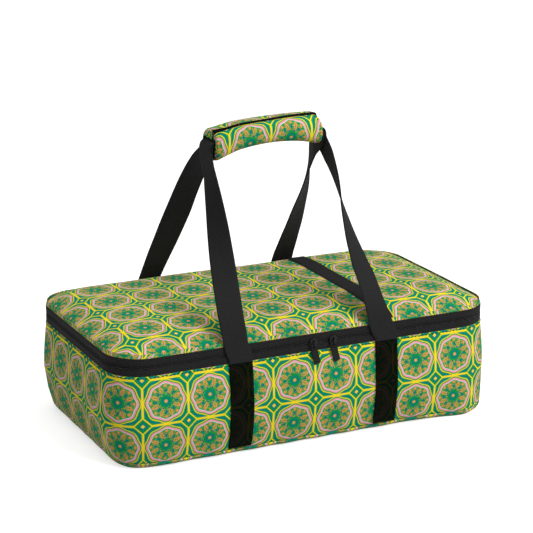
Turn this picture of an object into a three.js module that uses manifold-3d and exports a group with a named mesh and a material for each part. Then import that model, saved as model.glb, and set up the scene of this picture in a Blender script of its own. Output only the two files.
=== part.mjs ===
// A soft casserole carrier with a zipped lid, two webbing handles and a padded grip wrap.
// Millimetres, +Z up. The origin is on the floor under the middle of the tub, +X runs along the
// length, and the front faces -Y. Every profile is a list of points (inset, z), where the inset is
// measured inwards from the body's nominal outline.
import * as THREE from 'three';
import Module from 'manifold-3d';
import { mergeVertices } from 'three/addons/utils/BufferGeometryUtils.js';

const wasm = await Module();
wasm.setup();

// Body outline
const bodyLength = 430;
const bodyDepth = 240;
const cornerRadius = 39;
const smallestCorner = 8;
const cornerSteps = 5;

// Tub walls
const tubHeight = 100;
const wallBulge = 4;
const bottomTuck = 10.8;
const bottomRound = 8;
const bottomSeamShare = 0.38;
// Rounded bottom edge: share of the tuck, share of the rounding's height
const bottomShares = [[1, 0], [0.58, 0.38], [0.3, 1]];
// Side of the tub: share of the bulge, share of the tub's height
const sideShares = [[0.24, 0.25], [1, 0.5], [0.7, 0.75], [0, 1]];

// Zip band, split at half its height
const bandHeight = 18;
const rimRise = 6.5;
const bindingHeight = 1.6;
const tapeThickness = 1.2;
const coilHeight = 1.2;
const coilDepth = 2.4;
const coilInset = 0.2;
const splitGap = 0.2;
const bindingInset = 3;

// Crown of the lid
const crownRise = 15;
const crownInset = 32.5;
const crownPower = 1.6;
const crownSteps = 4;
const crownCornerShare = 0.4;
const domeRise = 2;
const domeInset = 70;

// Layers of every wall, and the clearance between touching pieces
const gap = 0.3;
const fabric = 1.2;
const foam = 5;
const liner = 0.8;
const board = 2.5;

// Rear hinge and the tabs at the zip's ends
const endTabLength = 12;

// Webbing
const webbingWidth = 26;
const webbing = 1.8;
const sewnWebbing = 1.6;
const sewnFoot = 9;
const strapSpacing = 166;
const legGap = 0.4;
const crossTapeWidth = 21;
const crossTape = 0.8;
const crossTapeFoot = 2.4;

// Grip wrap
const wrapLength = 124;
const wrapHeight = 306.3;
const wrapArch = 5.5;
const wrapTilt = 2.6;
const wrapDepth = 38;
const wrapThickness = 24;
const wrapFlare = 4.8;
const wrapCorner = 10.5;
const slitOffset = 8.5;
const slitGap = 0.4;
const wrapSlack = 0.8;
const flapTrim = 1;
const stripThickness = 0.8;
const stripTrim = 6;
const wrapSteps = 8;
const arcSteps = 4;

// Handle legs: share of the rise to the wrap's ends, of the reach to the middle of the depth, of the
// draw from the strap spacing to the wrap's end, and of the sideways sway
const legSway = 4.5;
const frontLegShares = [
  [0, 0, 0, 0],
  [0.015, 0, 0, 0],
  [0.03, 0, 0, 0.1],
  [0.09, 0, 0.05, 1.3],
  [0.16, 0.005, 0.095, 2],
  [0.23, 0.055, 0.135, 2.3],
  [0.3, 0.17, 0.2, 1.85],
  [0.375, 0.35, 0.29, 0.85],
  [0.475, 0.51, 0.395, 0.25],
  [0.6, 0.64, 0.495, 0],
  [0.75, 0.77, 0.61, -0.1],
  [0.87, 0.89, 0.74, 0],
  [0.92, 0.965, 0.8, 0],
  [0.955, 1, 0.83, 0],
  [0.975, 1, 0.83, 0],
  [0.9925, 1, 0.89, 0],
];
const rearLegShares = [
  [0, 0, 0, 0],
  [0.015, 0, 0, 0],
  [0.03, 0, 0, 0],
  [0.09, 0, 0.05, 0.3],
  [0.16, 0.075, 0.11, 0.5],
  [0.23, 0.165, 0.15, 0.6],
  [0.3, 0.24, 0.19, 0.45],
  [0.375, 0.315, 0.24, 0.15],
  [0.475, 0.415, 0.32, -0.1],
  [0.6, 0.545, 0.425, -0.35],
  [0.75, 0.7, 0.59, -0.3],
  [0.87, 0.86, 0.74, 0],
  [0.92, 0.95, 0.8, 0],
  [0.955, 1, 0.83, 0],
  [0.975, 1, 0.83, 0],
  [0.9925, 1, 0.89, 0],
];
const twistStartShare = 0.1;
const frontTwistEndShare = 0.86;
const rearTwistEndShare = 0.9;
const runStartShare = 0.6;
const runEndShare = 0.95;
const frontTwistPower = 1;
const rearTwistPower = 1.25;
const samplesPerPoint = 2;
const runSteps = 8;

// Zip sliders and their pulls
const sliderWidth = 9;
const sliderHeight = 9;
const sliderThickness = 1.8;
const sliderNose = 2;
const leftSliderPlace = -1.5;
const rightSliderPlace = 21;
const bridgeWidth = 1.8;
const bridgeHeight = 6.4;
const bridgeGap = 1.8;
const bridgeBar = 1;
const wire = 1;
const linkWidth = 6.4;
const linkHeight = 7.5;
const tabWidth = 7;
const tabLength = 15;
const tabThickness = 1.4;
const tabLean = 4;
const tabSteps = 3;

// Values worked out from the sizes above
const halfLength = bodyLength / 2;
const halfDepth = bodyDepth / 2;
const splitHeight = tubHeight + bandHeight / 2;
const bandTop = tubHeight + bandHeight;
const rimTop = tubHeight + rimRise;
const foamFrom = fabric + gap;
const foamTo = foamFrom + foam;
const linerFrom = foamTo + gap;
const linerTo = linerFrom + liner;
const coilTop = splitHeight - splitGap;
const tapeTop = coilTop - coilHeight - gap;
const strapX = strapSpacing / 2;
const hingeEnd = halfLength - cornerRadius;

// Materials
function material(color, roughness, metalness = 0) {
  return new THREE.MeshStandardMaterial({ color, roughness, metalness });
}
const printedFabric = material(0x7aa84a, 0.85);
const webbingBlack = material(0x26282b, 0.8);
const zipBlack = material(0x2a282b, 0.75);
const sliderBlack = material(0x1b1b1d, 0.4, 0.6);
const foamWhite = material(0xe8e6df, 0.95);
const linerSilver = material(0xb9bcc0, 0.45);
const boardGrey = material(0x8b8a86, 0.7);

const carrier = new THREE.Group();

function addPiece(name, geometry, finish) {
  const piece = new THREE.Mesh(geometry, finish);
  piece.name = name;
  carrier.add(piece);
}

// The upper half of the zip band mirrors the lower half about the split
function mirrored(z) {
  return splitHeight * 2 - z;
}

// Points of a rounded rectangle at one height, anticlockwise seen from above, from the rear left
// corner's rear end round the left, front and right sides to the rear right corner's rear end
function ring(inset, z, cornerShare = 1) {
  const radius = Math.max(smallestCorner, cornerRadius - inset * cornerShare);
  const centreX = halfLength - inset - radius;
  const centreY = halfDepth - inset - radius;
  const corners = [[-1, 1], [-1, -1], [1, -1], [1, 1]];
  return corners.flatMap(([signX, signY], corner) => {
    const points = [];
    for (let step = 0; step <= cornerSteps; step += 1) {
      const angle = (Math.PI / 2) * (1 + corner + step / cornerSteps);
      const x = signX * centreX + radius * Math.cos(angle);
      const y = signY * centreY + radius * Math.sin(angle);
      points.push(new THREE.Vector3(x, y, z));
    }
    return points;
  });
}

// Triangles that close a ring, facing along the loft's direction of travel
function capTriangles(points) {
  const normal = new THREE.Vector3();
  points.forEach((point, index) => {
    const next = points[(index + 1) % points.length];
    normal.add(new THREE.Vector3().crossVectors(point, next));
  });
  normal.normalize();
  const guide = Math.abs(normal.z) < Math.SQRT1_2 ? new THREE.Vector3(0, 0, 1) : new THREE.Vector3(1, 0, 0);
  const across = new THREE.Vector3().crossVectors(guide, normal).normalize();
  const up = new THREE.Vector3().crossVectors(normal, across);
  const flat = points.map((point) => new THREE.Vector2(point.dot(across), point.dot(up)));
  return THREE.ShapeUtils.triangulateShape(flat, []);
}

// One closed skin through a list of rings with equal numbers of points. An endless one joins its last
// ring to its first, and any other is capped at both ends.
function loft(rings, endless = false) {
  const count = rings[0].length;
  const positions = rings.flat().flatMap((point) => point.toArray());
  const index = [];
  const levels = endless ? rings.length : rings.length - 1;
  for (let level = 0; level < levels; level += 1) {
    const above = (level + 1) % rings.length;
    for (let side = 0; side < count; side += 1) {
      const next = (side + 1) % count;
      const [a, b] = [level * count + side, level * count + next];
      const [c, d] = [above * count + next, above * count + side];
      index.push(a, b, c, a, c, d);
    }
  }
  if (!endless) {
    const last = (rings.length - 1) * count;
    capTriangles(rings[0]).forEach(([a, b, c]) => index.push(c, b, a));
    capTriangles(rings[rings.length - 1]).forEach(([a, b, c]) => index.push(last + a, last + b, last + c));
  }
  const geometry = new THREE.BufferGeometry();
  geometry.setAttribute('position', new THREE.Float32BufferAttribute(positions, 3));
  geometry.setIndex(index);
  geometry.computeVertexNormals();
  return geometry;
}

// A profile moved inwards by a distance, with square corners between its stretches
function offsetLine(line, distance, before, after) {
  const directions = line.slice(1).map((point, index) => point.clone().sub(line[index]).normalize());
  const all = [before ?? directions[0], ...directions, after ?? directions[directions.length - 1]];
  return line.map((point, index) => {
    const first = new THREE.Vector2(all[index].y, -all[index].x);
    const second = new THREE.Vector2(all[index + 1].y, -all[index + 1].x);
    const middle = first.clone().add(second).normalize();
    return point.clone().addScaledVector(middle, distance / middle.dot(first));
  });
}

// The part of a rising profile between two heights
function between(line, low, high) {
  const kept = line.filter((point) => point.y > low && point.y < high);
  return [pointAt(line, low), ...kept, pointAt(line, high)].filter(Boolean);
}

function pointAt(line, z) {
  const index = line.findIndex((point, place) => place > 0 && line[place - 1].y <= z && point.y >= z);
  if (index < 0) return null;
  const [start, end] = [line[index - 1], line[index]];
  return start.clone().lerp(end, (z - start.y) / (end.y - start.y));
}

const floorward = new THREE.Vector2(-1, 0);
const upward = new THREE.Vector2(0, 1);
const topward = new THREE.Vector2(1, 0);

// Outer face of the tub, from the floor's edge to the top of the rim
function wallLine() {
  const bottom = bottomShares.map(([inward, up]) => {
    return new THREE.Vector2(inward * bottomTuck, up * bottomRound);
  });
  const side = sideShares.map(([outward, up]) => {
    return new THREE.Vector2(-outward * wallBulge, up * tubHeight);
  });
  return [...bottom, ...side, new THREE.Vector2(0, rimTop)];
}

// Outer face of the lid, from its rim over the crown to the flat middle
function crownLine() {
  const line = [new THREE.Vector2(0, mirrored(rimTop))];
  for (let step = 0; step <= crownSteps; step += 1) {
    const angle = (Math.PI / 2) * (step / crownSteps);
    const inset = crownInset * (1 - Math.cos(angle) ** crownPower);
    const z = bandTop + crownRise * Math.sin(angle) ** crownPower;
    line.push(new THREE.Vector2(inset, z));
  }
  line.push(new THREE.Vector2(domeInset, bandTop + crownRise + domeRise));
  return line;
}

const wall = wallLine();
const crown = crownLine();

function wallOffset(distance) {
  return offsetLine(wall, distance, floorward, upward);
}

function crownOffset(distance) {
  return offsetLine(crown, distance, upward, topward);
}

function cup(outer, inner) {
  const rings = [...outer, ...inner.slice().reverse()];
  return loft(rings.map((point) => ring(point.x, point.y)));
}

function sleeve(outer, inner) {
  const rings = [...outer, ...inner.slice().reverse()];
  return loft(rings.map((point) => ring(point.x, point.y)), true);
}

function cap(outer, inner) {
  const rings = [...inner.slice().reverse(), ...outer];
  return loft(rings.map((point) => ring(point.x, point.y, crownCornerShare)));
}

function buildTub() {
  const topSeam = tubHeight - gap;
  const bottomSeam = bottomRound * bottomSeamShare;
  const inner = wallOffset(fabric);
  const wallOuter = between(wall, bottomSeam + gap, topSeam);
  addPiece('wall_cover', sleeve(wallOuter, between(inner, bottomSeam + gap, topSeam)), printedFabric);
  addPiece('bottom_cover', cup(between(wall, 0, bottomSeam), between(inner, fabric, bottomSeam)), printedFabric);
  const padOuter = wallOffset(foamFrom);
  const padInner = wallOffset(foamTo);
  const padLow = foamTo + gap;
  addPiece('wall_foam', sleeve(between(padOuter, padLow, rimTop), between(padInner, padLow, rimTop)), foamWhite);
  const floorRings = between(padOuter, foamFrom, foamTo).map((point) => ring(point.x, point.y));
  addPiece('floor_foam', loft(floorRings), foamWhite);
  const boardBottom = foamTo + gap;
  const linerFloor = boardBottom + board + gap;
  const linerOuter = between(wallOffset(linerFrom), linerFloor, rimTop);
  const linerInner = between(wallOffset(linerTo), linerFloor + liner, rimTop);
  addPiece('tub_liner', cup(linerOuter, linerInner), linerSilver);
  const boardInset = pointAt(wallOffset(foamTo), boardBottom).x + gap;
  const boardRings = [boardBottom, boardBottom + board].map((z) => ring(boardInset, z));
  addPiece('base_board', loft(boardRings), boardGrey);
}

function buildLid() {
  const seam = bandTop + gap;
  const rim = mirrored(rimTop);
  const shellOuter = [pointAt(crown, seam), ...crown.filter((point) => point.y > seam)];
  const inside = crownOffset(fabric);
  const shellInner = [pointAt(inside, seam), ...inside.filter((point) => point.y > seam)];
  addPiece('lid_outer_shell', cap(shellOuter, shellInner), printedFabric);
  addPiece('lid_foam', cap(crownOffset(foamFrom), crownOffset(foamTo)), foamWhite);
  addPiece('lid_liner', cap(crownOffset(linerFrom), crownOffset(linerTo)), linerSilver);
  addPiece('lid_rim_binding', frame(bindingInset, linerTo + gap, rim - gap - bindingHeight, rim - gap), zipBlack);
}

// A closed frame all round the rim
function frame(outerInset, innerInset, low, high) {
  const shape = new THREE.Shape(ring(outerInset, 0).map((point) => new THREE.Vector2(point.x, point.y)));
  const hole = ring(innerInset, 0).map((point) => new THREE.Vector2(point.x, point.y));
  shape.holes.push(new THREE.Path(hole));
  return raisedShape(shape, low, high);
}

// A strip round the left side, the front and the right side, open along the rear
function band(outerInset, innerInset, low, high) {
  const outer = ring(outerInset, 0);
  const inner = ring(innerInset, 0).reverse();
  const shape = new THREE.Shape([...outer, ...inner].map((point) => new THREE.Vector2(point.x, point.y)));
  return raisedShape(shape, low, high);
}

function raisedShape(shape, low, high) {
  const geometry = new THREE.ExtrudeGeometry(shape, { depth: high - low, bevelEnabled: false });
  geometry.translate(0, 0, low);
  return geometry;
}

// A strip of tape along the straight rear wall, between two places along X
function rearStrip(start, end, low, high) {
  const geometry = new THREE.BoxGeometry(end - start, tapeThickness, high - low);
  geometry.translate((start + end) / 2, halfDepth - tapeThickness / 2, (low + high) / 2);
  return geometry;
}

function buildZip() {
  const coilOuter = coilInset;
  const coilInner = coilInset + coilDepth;
  const coilLow = coilTop - coilHeight;
  addPiece('zip_tape_lower', band(0, tapeThickness, tubHeight, tapeTop), zipBlack);
  addPiece('zip_tape_upper', band(0, tapeThickness, mirrored(tapeTop), bandTop), zipBlack);
  addPiece('zip_coil_lower', band(coilOuter, coilInner, coilLow, coilTop), zipBlack);
  addPiece('zip_coil_upper', band(coilOuter, coilInner, mirrored(coilTop), mirrored(coilLow)), zipBlack);
  const bindingLow = rimTop + gap;
  const bindingTop = bindingLow + bindingHeight;
  addPiece('tub_rim_binding', frame(bindingInset, linerTo + gap, bindingLow, bindingTop), zipBlack);
}

function buildHinge() {
  const tabEnd = hingeEnd - gap;
  const tabStart = tabEnd - endTabLength;
  const hingeReach = tabStart - gap;
  const hingeTop = coilTop;
  addPiece('hinge_tape_lower', rearStrip(-hingeReach, hingeReach, tubHeight, hingeTop), zipBlack);
  addPiece('hinge_tape_upper', rearStrip(-tabEnd, tabEnd, mirrored(hingeTop), bandTop), zipBlack);
  addPiece('zip_end_tab_left', rearStrip(-tabEnd, -tabStart, tubHeight, hingeTop), webbingBlack);
  addPiece('zip_end_tab_right', rearStrip(tabStart, tabEnd, tubHeight, hingeTop), webbingBlack);
}

// A flat strip swept through centres, with its width along the given directions
function ribbon(centres, acrosses, width, thickness) {
  const directions = centres.slice(1).map((centre, index) => centre.clone().sub(centres[index]).normalize());
  const rings = centres.map((centre, index) => {
    const before = directions[Math.max(index - 1, 0)];
    const after = directions[Math.min(index, directions.length - 1)];
    const along = before.clone().add(after).normalize();
    const across = acrosses[index].clone().addScaledVector(along, -acrosses[index].dot(along)).normalize();
    const normal = new THREE.Vector3().crossVectors(along, across);
    const halfWidth = across.multiplyScalar(width / 2);
    const halfThickness = normal.multiplyScalar(thickness / 2 / along.dot(before));
    return [[1, -1], [1, 1], [-1, 1], [-1, -1]].map(([side, face]) => {
      return centre.clone().addScaledVector(halfWidth, side).addScaledVector(halfThickness, face);
    });
  });
  return loft(rings);
}

const lengthways = new THREE.Vector3(1, 0, 0);
const rearwards = new THREE.Vector3(0, 1, 0);

// Webbing sewn flat on the front or rear wall
function sewnStrip(x, side) {
  const line = between(wallOffset(-gap - sewnWebbing / 2), sewnFoot, tubHeight - gap - gap);
  const centres = line.map((point) => new THREE.Vector3(x, side * (halfDepth - point.x), point.y));
  return ribbon(centres, centres.map(() => lengthways), webbingWidth, sewnWebbing);
}

function buildSewnWebbing() {
  [['front', -1], ['rear', 1]].forEach(([place, side]) => {
    addPiece(`${place}_left_webbing`, sewnStrip(-strapX, side), webbingBlack);
    addPiece(`${place}_right_webbing`, sewnStrip(strapX, side), webbingBlack);
  });
}

// Tape sewn across the lid, from the rear of the crown to its front, in line with the right legs
function buildCrossTape() {
  const line = crownOffset(-gap - crossTape / 2);
  const foot = bandTop + crossTapeFoot;
  const half = [pointAt(line, foot), ...line.filter((point) => point.y > foot)];
  const front = half.map((point) => new THREE.Vector3(strapX, point.x - halfDepth, point.y));
  const rear = half.map((point) => new THREE.Vector3(strapX, halfDepth - point.x, point.y)).reverse();
  const centres = [...front, ...rear];
  const acrosses = centres.map(() => lengthways);
  addPiece('lid_cross_tape', ribbon(centres, acrosses, crossTapeWidth, crossTape), zipBlack);
}

// Height of the grip's middle line at a place along X
function gripHeight(x) {
  const share = x / (wrapLength / 2);
  return wrapHeight - wrapArch * share ** 2 + wrapTilt * share;
}

// How much thicker the wrap is there than in its middle
function gripSwell(x) {
  return 1 + (wrapFlare / wrapThickness) * (x / (wrapLength / 2)) ** 2;
}

// A handle from its left seam over the grip to its right seam. The front run lies on the rear run.
function handle(side, legShares, twistEndShare, twistPower, runLift) {
  const rise = (hand) => gripHeight(hand * wrapLength / 2) - tubHeight;
  const base = halfDepth + legGap + webbing / 2;
  const draw = strapX - wrapLength / 2;
  const leg = (hand) => legShares.map(([up, inward, drawn, sway]) => {
    const x = hand * (strapX - drawn * draw) - sway * legSway;
    return new THREE.Vector3(x, side * base * (1 - inward), tubHeight + up * rise(hand));
  });
  const run = [];
  for (let step = 0; step <= runSteps; step += 1) {
    const x = wrapLength * (step / runSteps) - wrapLength / 2;
    run.push(new THREE.Vector3(x, 0, gripHeight(x)));
  }
  const route = [...leg(-1), ...run, ...leg(1).reverse()];
  const curve = new THREE.CatmullRomCurve3(route, false, 'centripetal');
  const middles = curve.getPoints((route.length - 1) * samplesPerPoint);
  const climbs = middles.map((point) => {
    const share = (point.z - tubHeight) / rise(Math.sign(point.x));
    return THREE.MathUtils.clamp((share - twistStartShare) / (twistEndShare - twistStartShare), 0, 1);
  });
  const acrosses = middles.map((point, index) => {
    const turn = (Math.PI / 2) * climbs[index] ** twistPower;
    const outward = lengthways.clone().multiplyScalar(Math.sign(point.x) * Math.cos(turn));
    return outward.addScaledVector(rearwards, Math.sin(turn));
  });
  const centres = middles.map((point, index) => {
    const ahead = middles[Math.min(index + 1, middles.length - 1)];
    const behind = middles[Math.max(index - 1, 0)];
    const along = ahead.clone().sub(behind).normalize();
    const face = new THREE.Vector3().crossVectors(along, acrosses[index]).normalize();
    const share = THREE.MathUtils.smoothstep(climbs[index], runStartShare, runEndShare);
    return point.clone().addScaledVector(face, runLift * share);
  });
  return ribbon(centres, acrosses, webbingWidth, webbing);
}

function buildHandles() {
  const runLift = (webbing + wrapSlack) / 2;
  const front = handle(-1, frontLegShares, frontTwistEndShare, frontTwistPower, runLift);
  const rear = handle(1, rearLegShares, rearTwistEndShare, rearTwistPower, -runLift);
  addPiece('front_handle_webbing', front, webbingBlack);
  addPiece('rear_handle_webbing', rear, webbingBlack);
}

// Points of an arc in the wrap's cross-section, from one angle to another in radians
function arc(y, z, radius, from, to) {
  const points = [];
  for (let step = 0; step <= arcSteps; step += 1) {
    const angle = from + (to - from) * (step / arcSteps);
    points.push(new THREE.Vector2(y + radius * Math.cos(angle), z + radius * Math.sin(angle)));
  }
  return points;
}

// A cross-section (y, z) swept along the arched grip
function gripSweep(section, reach) {
  const rings = [];
  for (let step = 0; step <= wrapSteps; step += 1) {
    const x = reach * (2 * (step / wrapSteps) - 1);
    rings.push(section.map((point) => new THREE.Vector3(x, point.x, gripHeight(x) + point.y * gripSwell(x))));
  }
  return loft(rings);
}

function rectangle(yLow, yHigh, zLow, zHigh) {
  return [[yLow, zLow], [yHigh, zLow], [yHigh, zHigh], [yLow, zHigh]].map(([y, z]) => new THREE.Vector2(y, z));
}

const quarter = Math.PI / 2;

// Rear and underside of the wrap: the outline of its fixed half, drawn in by a distance
function panelEdge(inset) {
  const radius = wrapCorner - inset;
  const y = wrapDepth / 2 - wrapCorner;
  const z = wrapThickness / 2 - wrapCorner;
  return [...arc(y, -z, radius, -quarter, 0), ...arc(y, z, radius, 0, quarter)];
}

// Front of the wrap: the outline of the flap, drawn in by a distance, starting where it is told to
function flapEdge(inset, setBack) {
  const seam = -slitOffset - slitGap;
  const corner = wrapDepth / 2 + seam;
  const radius = corner - inset;
  const z = wrapThickness / 2 - corner;
  const start = quarter + Math.asin(setBack / radius);
  return [...arc(seam, z, radius, start, 2 * quarter), ...arc(seam, -z, radius, 2 * quarter, 3 * quarter)];
}

function buildWrap() {
  const reach = wrapLength / 2;
  const flapReach = reach - flapTrim;
  const stripReach = reach - stripTrim;
  const half = wrapThickness / 2;
  const padInset = fabric + gap;
  const padHalf = half - padInset;
  const seat = stripThickness + gap;
  const hollowDepth = (webbingWidth + 2 * gap) / 2 + gap;
  const hollow = webbing + wrapSlack + wrapSlack / 2;
  const slit = -slitOffset;
  const flapSlit = slit - slitGap;
  const point = (y, z) => new THREE.Vector2(y, z);

  const panel = [
    point(slit, -half), ...panelEdge(0), point(slit, half),
    point(slit, half - fabric), ...panelEdge(fabric).reverse(), point(slit, fabric - half),
  ];
  addPiece('wrap_panel', gripSweep(panel, reach), printedFabric);
  const padding = [
    point(slit, -padHalf), ...panelEdge(padInset), point(slit + seat, padHalf),
    point(slit + seat, hollow), point(hollowDepth, hollow), point(hollowDepth, -hollow), point(slit, -hollow),
  ];
  addPiece('wrap_padding', gripSweep(padding, reach), foamWhite);
  const loopSection = rectangle(slit, slit + stripThickness, hollow + gap, padHalf - gap);
  addPiece('loop_strip', gripSweep(loopSection, stripReach), webbingBlack);

  const flap = [...flapEdge(0, 0), ...flapEdge(fabric, 0).reverse()];
  addPiece('wrap_flap', gripSweep(flap, flapReach), printedFabric);
  const flapPadding = [
    ...flapEdge(padInset, seat),
    point(flapSlit, -hollow), point(-hollowDepth, -hollow), point(-hollowDepth, hollow),
    point(flapSlit - seat, hollow),
  ];
  addPiece('flap_padding', gripSweep(flapPadding, flapReach), foamWhite);
  const hookSection = rectangle(flapSlit - stripThickness, flapSlit, hollow + gap, padHalf - gap);
  addPiece('hook_strip', gripSweep(hookSection, stripReach), webbingBlack);
}

function asSolid(geometry) {
  const bare = geometry.clone();
  bare.deleteAttribute('normal');
  bare.deleteAttribute('uv');
  const merged = mergeVertices(bare);
  const vertProperties = new Float32Array(merged.attributes.position.array);
  const triVerts = new Uint32Array(merged.index.array);
  return new wasm.Manifold(new wasm.Mesh({ numProp: 3, vertProperties, triVerts }));
}

function asGeometry(solid) {
  const mesh = solid.getMesh();
  const geometry = new THREE.BufferGeometry();
  geometry.setAttribute('position', new THREE.BufferAttribute(mesh.vertProperties, 3));
  geometry.setIndex(new THREE.BufferAttribute(mesh.triVerts, 1));
  geometry.computeVertexNormals();
  return geometry;
}

// An outline (x, z) given a thickness in front of a plane that faces the front
function frontPlate(shape, y, thickness) {
  const geometry = new THREE.ExtrudeGeometry(shape, { depth: thickness, bevelEnabled: false });
  geometry.rotateX(quarter);
  geometry.translate(0, y, 0);
  return geometry;
}

function shapeOf(points) {
  return new THREE.Shape(points.map(([x, y]) => new THREE.Vector2(x, y)));
}

// The slider's plate with the bridge that holds the pull's wire
function sliderGeometry(x) {
  const plateY = -halfDepth - gap;
  const bridgeY = plateY - sliderThickness;
  const halfWidth = sliderWidth / 2;
  const low = splitHeight - sliderHeight / 2;
  const high = splitHeight + sliderHeight / 2;
  const outline = shapeOf([
    [x - halfWidth + sliderNose, low], [x + halfWidth - sliderNose, low], [x + halfWidth, low + sliderNose],
    [x + halfWidth, high - sliderNose], [x + halfWidth - sliderNose, high], [x - halfWidth + sliderNose, high],
    [x - halfWidth, high - sliderNose], [x - halfWidth, low + sliderNose],
  ]);
  const plate = asSolid(frontPlate(outline, plateY, sliderThickness));
  const reach = bridgeGap + bridgeBar;
  const block = new THREE.BoxGeometry(bridgeWidth, reach + sliderThickness / 2, bridgeHeight);
  block.translate(x, bridgeY - reach / 2 + sliderThickness / 4, splitHeight);
  const opening = new THREE.BoxGeometry(bridgeWidth * 2, bridgeGap, bridgeHeight - bridgeBar * 2);
  opening.translate(x, bridgeY - bridgeGap / 2, splitHeight);
  const bridge = asSolid(block).subtract(asSolid(opening));
  return asGeometry(plate.add(bridge));
}

// The wire link that hangs from the bridge
function linkGeometry(x) {
  const y = -halfDepth - gap - sliderThickness - (bridgeGap - wire) / 2;
  const top = splitHeight + wire / 2;
  const half = linkWidth / 2;
  const shape = shapeOf([
    [x - half, top - linkHeight], [x + half, top - linkHeight], [x + half, top], [x - half, top],
  ]);
  const inner = half - wire;
  const hole = shapeOf([
    [x - inner, top - linkHeight + wire], [x + inner, top - linkHeight + wire],
    [x + inner, top - wire], [x - inner, top - wire],
  ]);
  shape.holes.push(hole);
  return frontPlate(shape, y, wire);
}

// The fabric tab under the link, leaning a little to the right
function tabGeometry(x) {
  const y = -halfDepth - gap - sliderThickness - bridgeGap / 2;
  const top = splitHeight + wire / 2 - linkHeight - gap;
  const rings = [];
  for (let step = 0; step <= tabSteps; step += 1) {
    const share = 1 - step / tabSteps;
    const middle = x + tabLean * share ** 2;
    const z = top - tabLength * share;
    const corners = [[-1, -1], [1, -1], [1, 1], [-1, 1]];
    rings.push(corners.map(([across, through]) => {
      return new THREE.Vector3(middle + across * tabWidth / 2, y + through * tabThickness / 2, z);
    }));
  }
  return loft(rings);
}

function buildSliders() {
  [['left', leftSliderPlace], ['right', rightSliderPlace]].forEach(([hand, x]) => {
    addPiece(`zip_slider_${hand}`, sliderGeometry(x), sliderBlack);
    addPiece(`pull_link_${hand}`, linkGeometry(x), sliderBlack);
    addPiece(`pull_tab_${hand}`, tabGeometry(x), webbingBlack);
  });
}

buildTub();
buildLid();
buildZip();
buildHinge();
buildSewnWebbing();
buildCrossTape();
buildHandles();
buildWrap();
buildSliders();

export default carrier;
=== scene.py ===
import math

import bmesh
import bpy
import numpy as np
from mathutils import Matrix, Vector


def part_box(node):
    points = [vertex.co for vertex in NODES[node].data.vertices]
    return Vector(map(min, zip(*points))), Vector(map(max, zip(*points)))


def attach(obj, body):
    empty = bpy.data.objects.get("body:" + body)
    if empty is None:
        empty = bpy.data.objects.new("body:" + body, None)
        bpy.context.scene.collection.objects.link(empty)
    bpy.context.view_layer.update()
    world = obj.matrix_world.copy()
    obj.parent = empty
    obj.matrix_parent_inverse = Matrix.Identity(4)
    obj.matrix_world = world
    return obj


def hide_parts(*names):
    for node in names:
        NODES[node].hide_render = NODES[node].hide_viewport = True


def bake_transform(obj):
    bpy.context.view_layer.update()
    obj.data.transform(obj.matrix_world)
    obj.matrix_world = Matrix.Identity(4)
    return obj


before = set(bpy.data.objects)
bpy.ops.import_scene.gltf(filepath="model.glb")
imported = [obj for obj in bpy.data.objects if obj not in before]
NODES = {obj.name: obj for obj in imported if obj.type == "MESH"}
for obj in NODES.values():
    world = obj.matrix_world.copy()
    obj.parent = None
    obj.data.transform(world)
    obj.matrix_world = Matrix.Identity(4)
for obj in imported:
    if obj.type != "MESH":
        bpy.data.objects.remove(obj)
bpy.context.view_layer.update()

# Body, in metres. The places and sizes repeat the solid model's.
BODY_LENGTH = 0.430
BODY_DEPTH = 0.240
CORNER_RADIUS = 0.039
SMALLEST_CORNER = 0.008
TUB_HEIGHT = 0.100
BAND_HEIGHT = 0.018
BAND_TOP = TUB_HEIGHT + BAND_HEIGHT
SPLIT = TUB_HEIGHT + BAND_HEIGHT / 2
WALL_BULGE = 0.004
BOTTOM_TUCK = 0.0108
BOTTOM_ROUND = 0.008
BOTTOM_SEAM = 0.0066
CROWN_RISE = 0.015
CROWN_INSET = 0.0325
CROWN_POWER = 1.6
CROWN_CORNER_SHARE = 0.4
DOME_RISE = 0.002
DOME_INSET = 0.070
MIDDLE_INSET = 0.112
# The wall's line: shares of the tuck and its round, then of the bulge and the tub's height
TUCK_SHARES = [(1, 0), (0.58, 0.38), (0.3, 1)]
BULGE_SHARES = [(0.24, 0.25), (1, 0.5), (0.7, 0.75), (0, 1)]

# The foot at each end: where it fills out, and its insets as (height, inset)
RIGHT_FILL_START = 0.120
RIGHT_FILL_END = 0.185
FILL_REAR = 0.085
FILL_FRONT = -0.030
LEFT_FILL_START = -0.165
LEFT_FILL_END = -0.205
LEFT_FOOT = [(0, 0.0112), (0.003, 0.0078), (0.008, 0.0044), (0.025, -0.0004), (0.050, -0.0040)]
RIGHT_FOOT = [(0, 0.0025), (0.003, -0.0015), (0.020, -0.0030), (0.050, -0.0040)]

# The cloth's own waves: heights, wavelengths, shifts in radians, and where they fade
WAVE = 0.0006
WAVE_LENGTH = 0.13
WAVE_PHASE = 0.7
SWELL = 0.0008
SWELL_LENGTH = 0.041
WANDER = 1.4
WANDER_LENGTH = 0.29
PUCKER = 0.00035
PUCKER_LENGTH = 0.0125
DRIFT = 2.1
DRIFT_LENGTH = 0.083
CALM_SHARE = 0.25
CALM_START = 0.26
CALM_END = 0.20
FOOT_REACH = 0.009
SEAM_REACH = 0.003
PUFF = 0.0006
PUFF_LENGTH = 0.17
PUFF_DEPTH = 0.15
PUFF_PHASE = 0.5

# Layers
GAP = 0.0003
WELD = 0.00002
NEAR = 0.0001
FABRIC = 0.0012
LINER_DEPTH = 0.0076
LINER_FLOOR = 0.0104
LINER_BEND = 0.0015
LINER_STEP = 0.001
LINER_DROP = 0.002
LINER_START = 0.003
RIM_TOP = 0.1065

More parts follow.
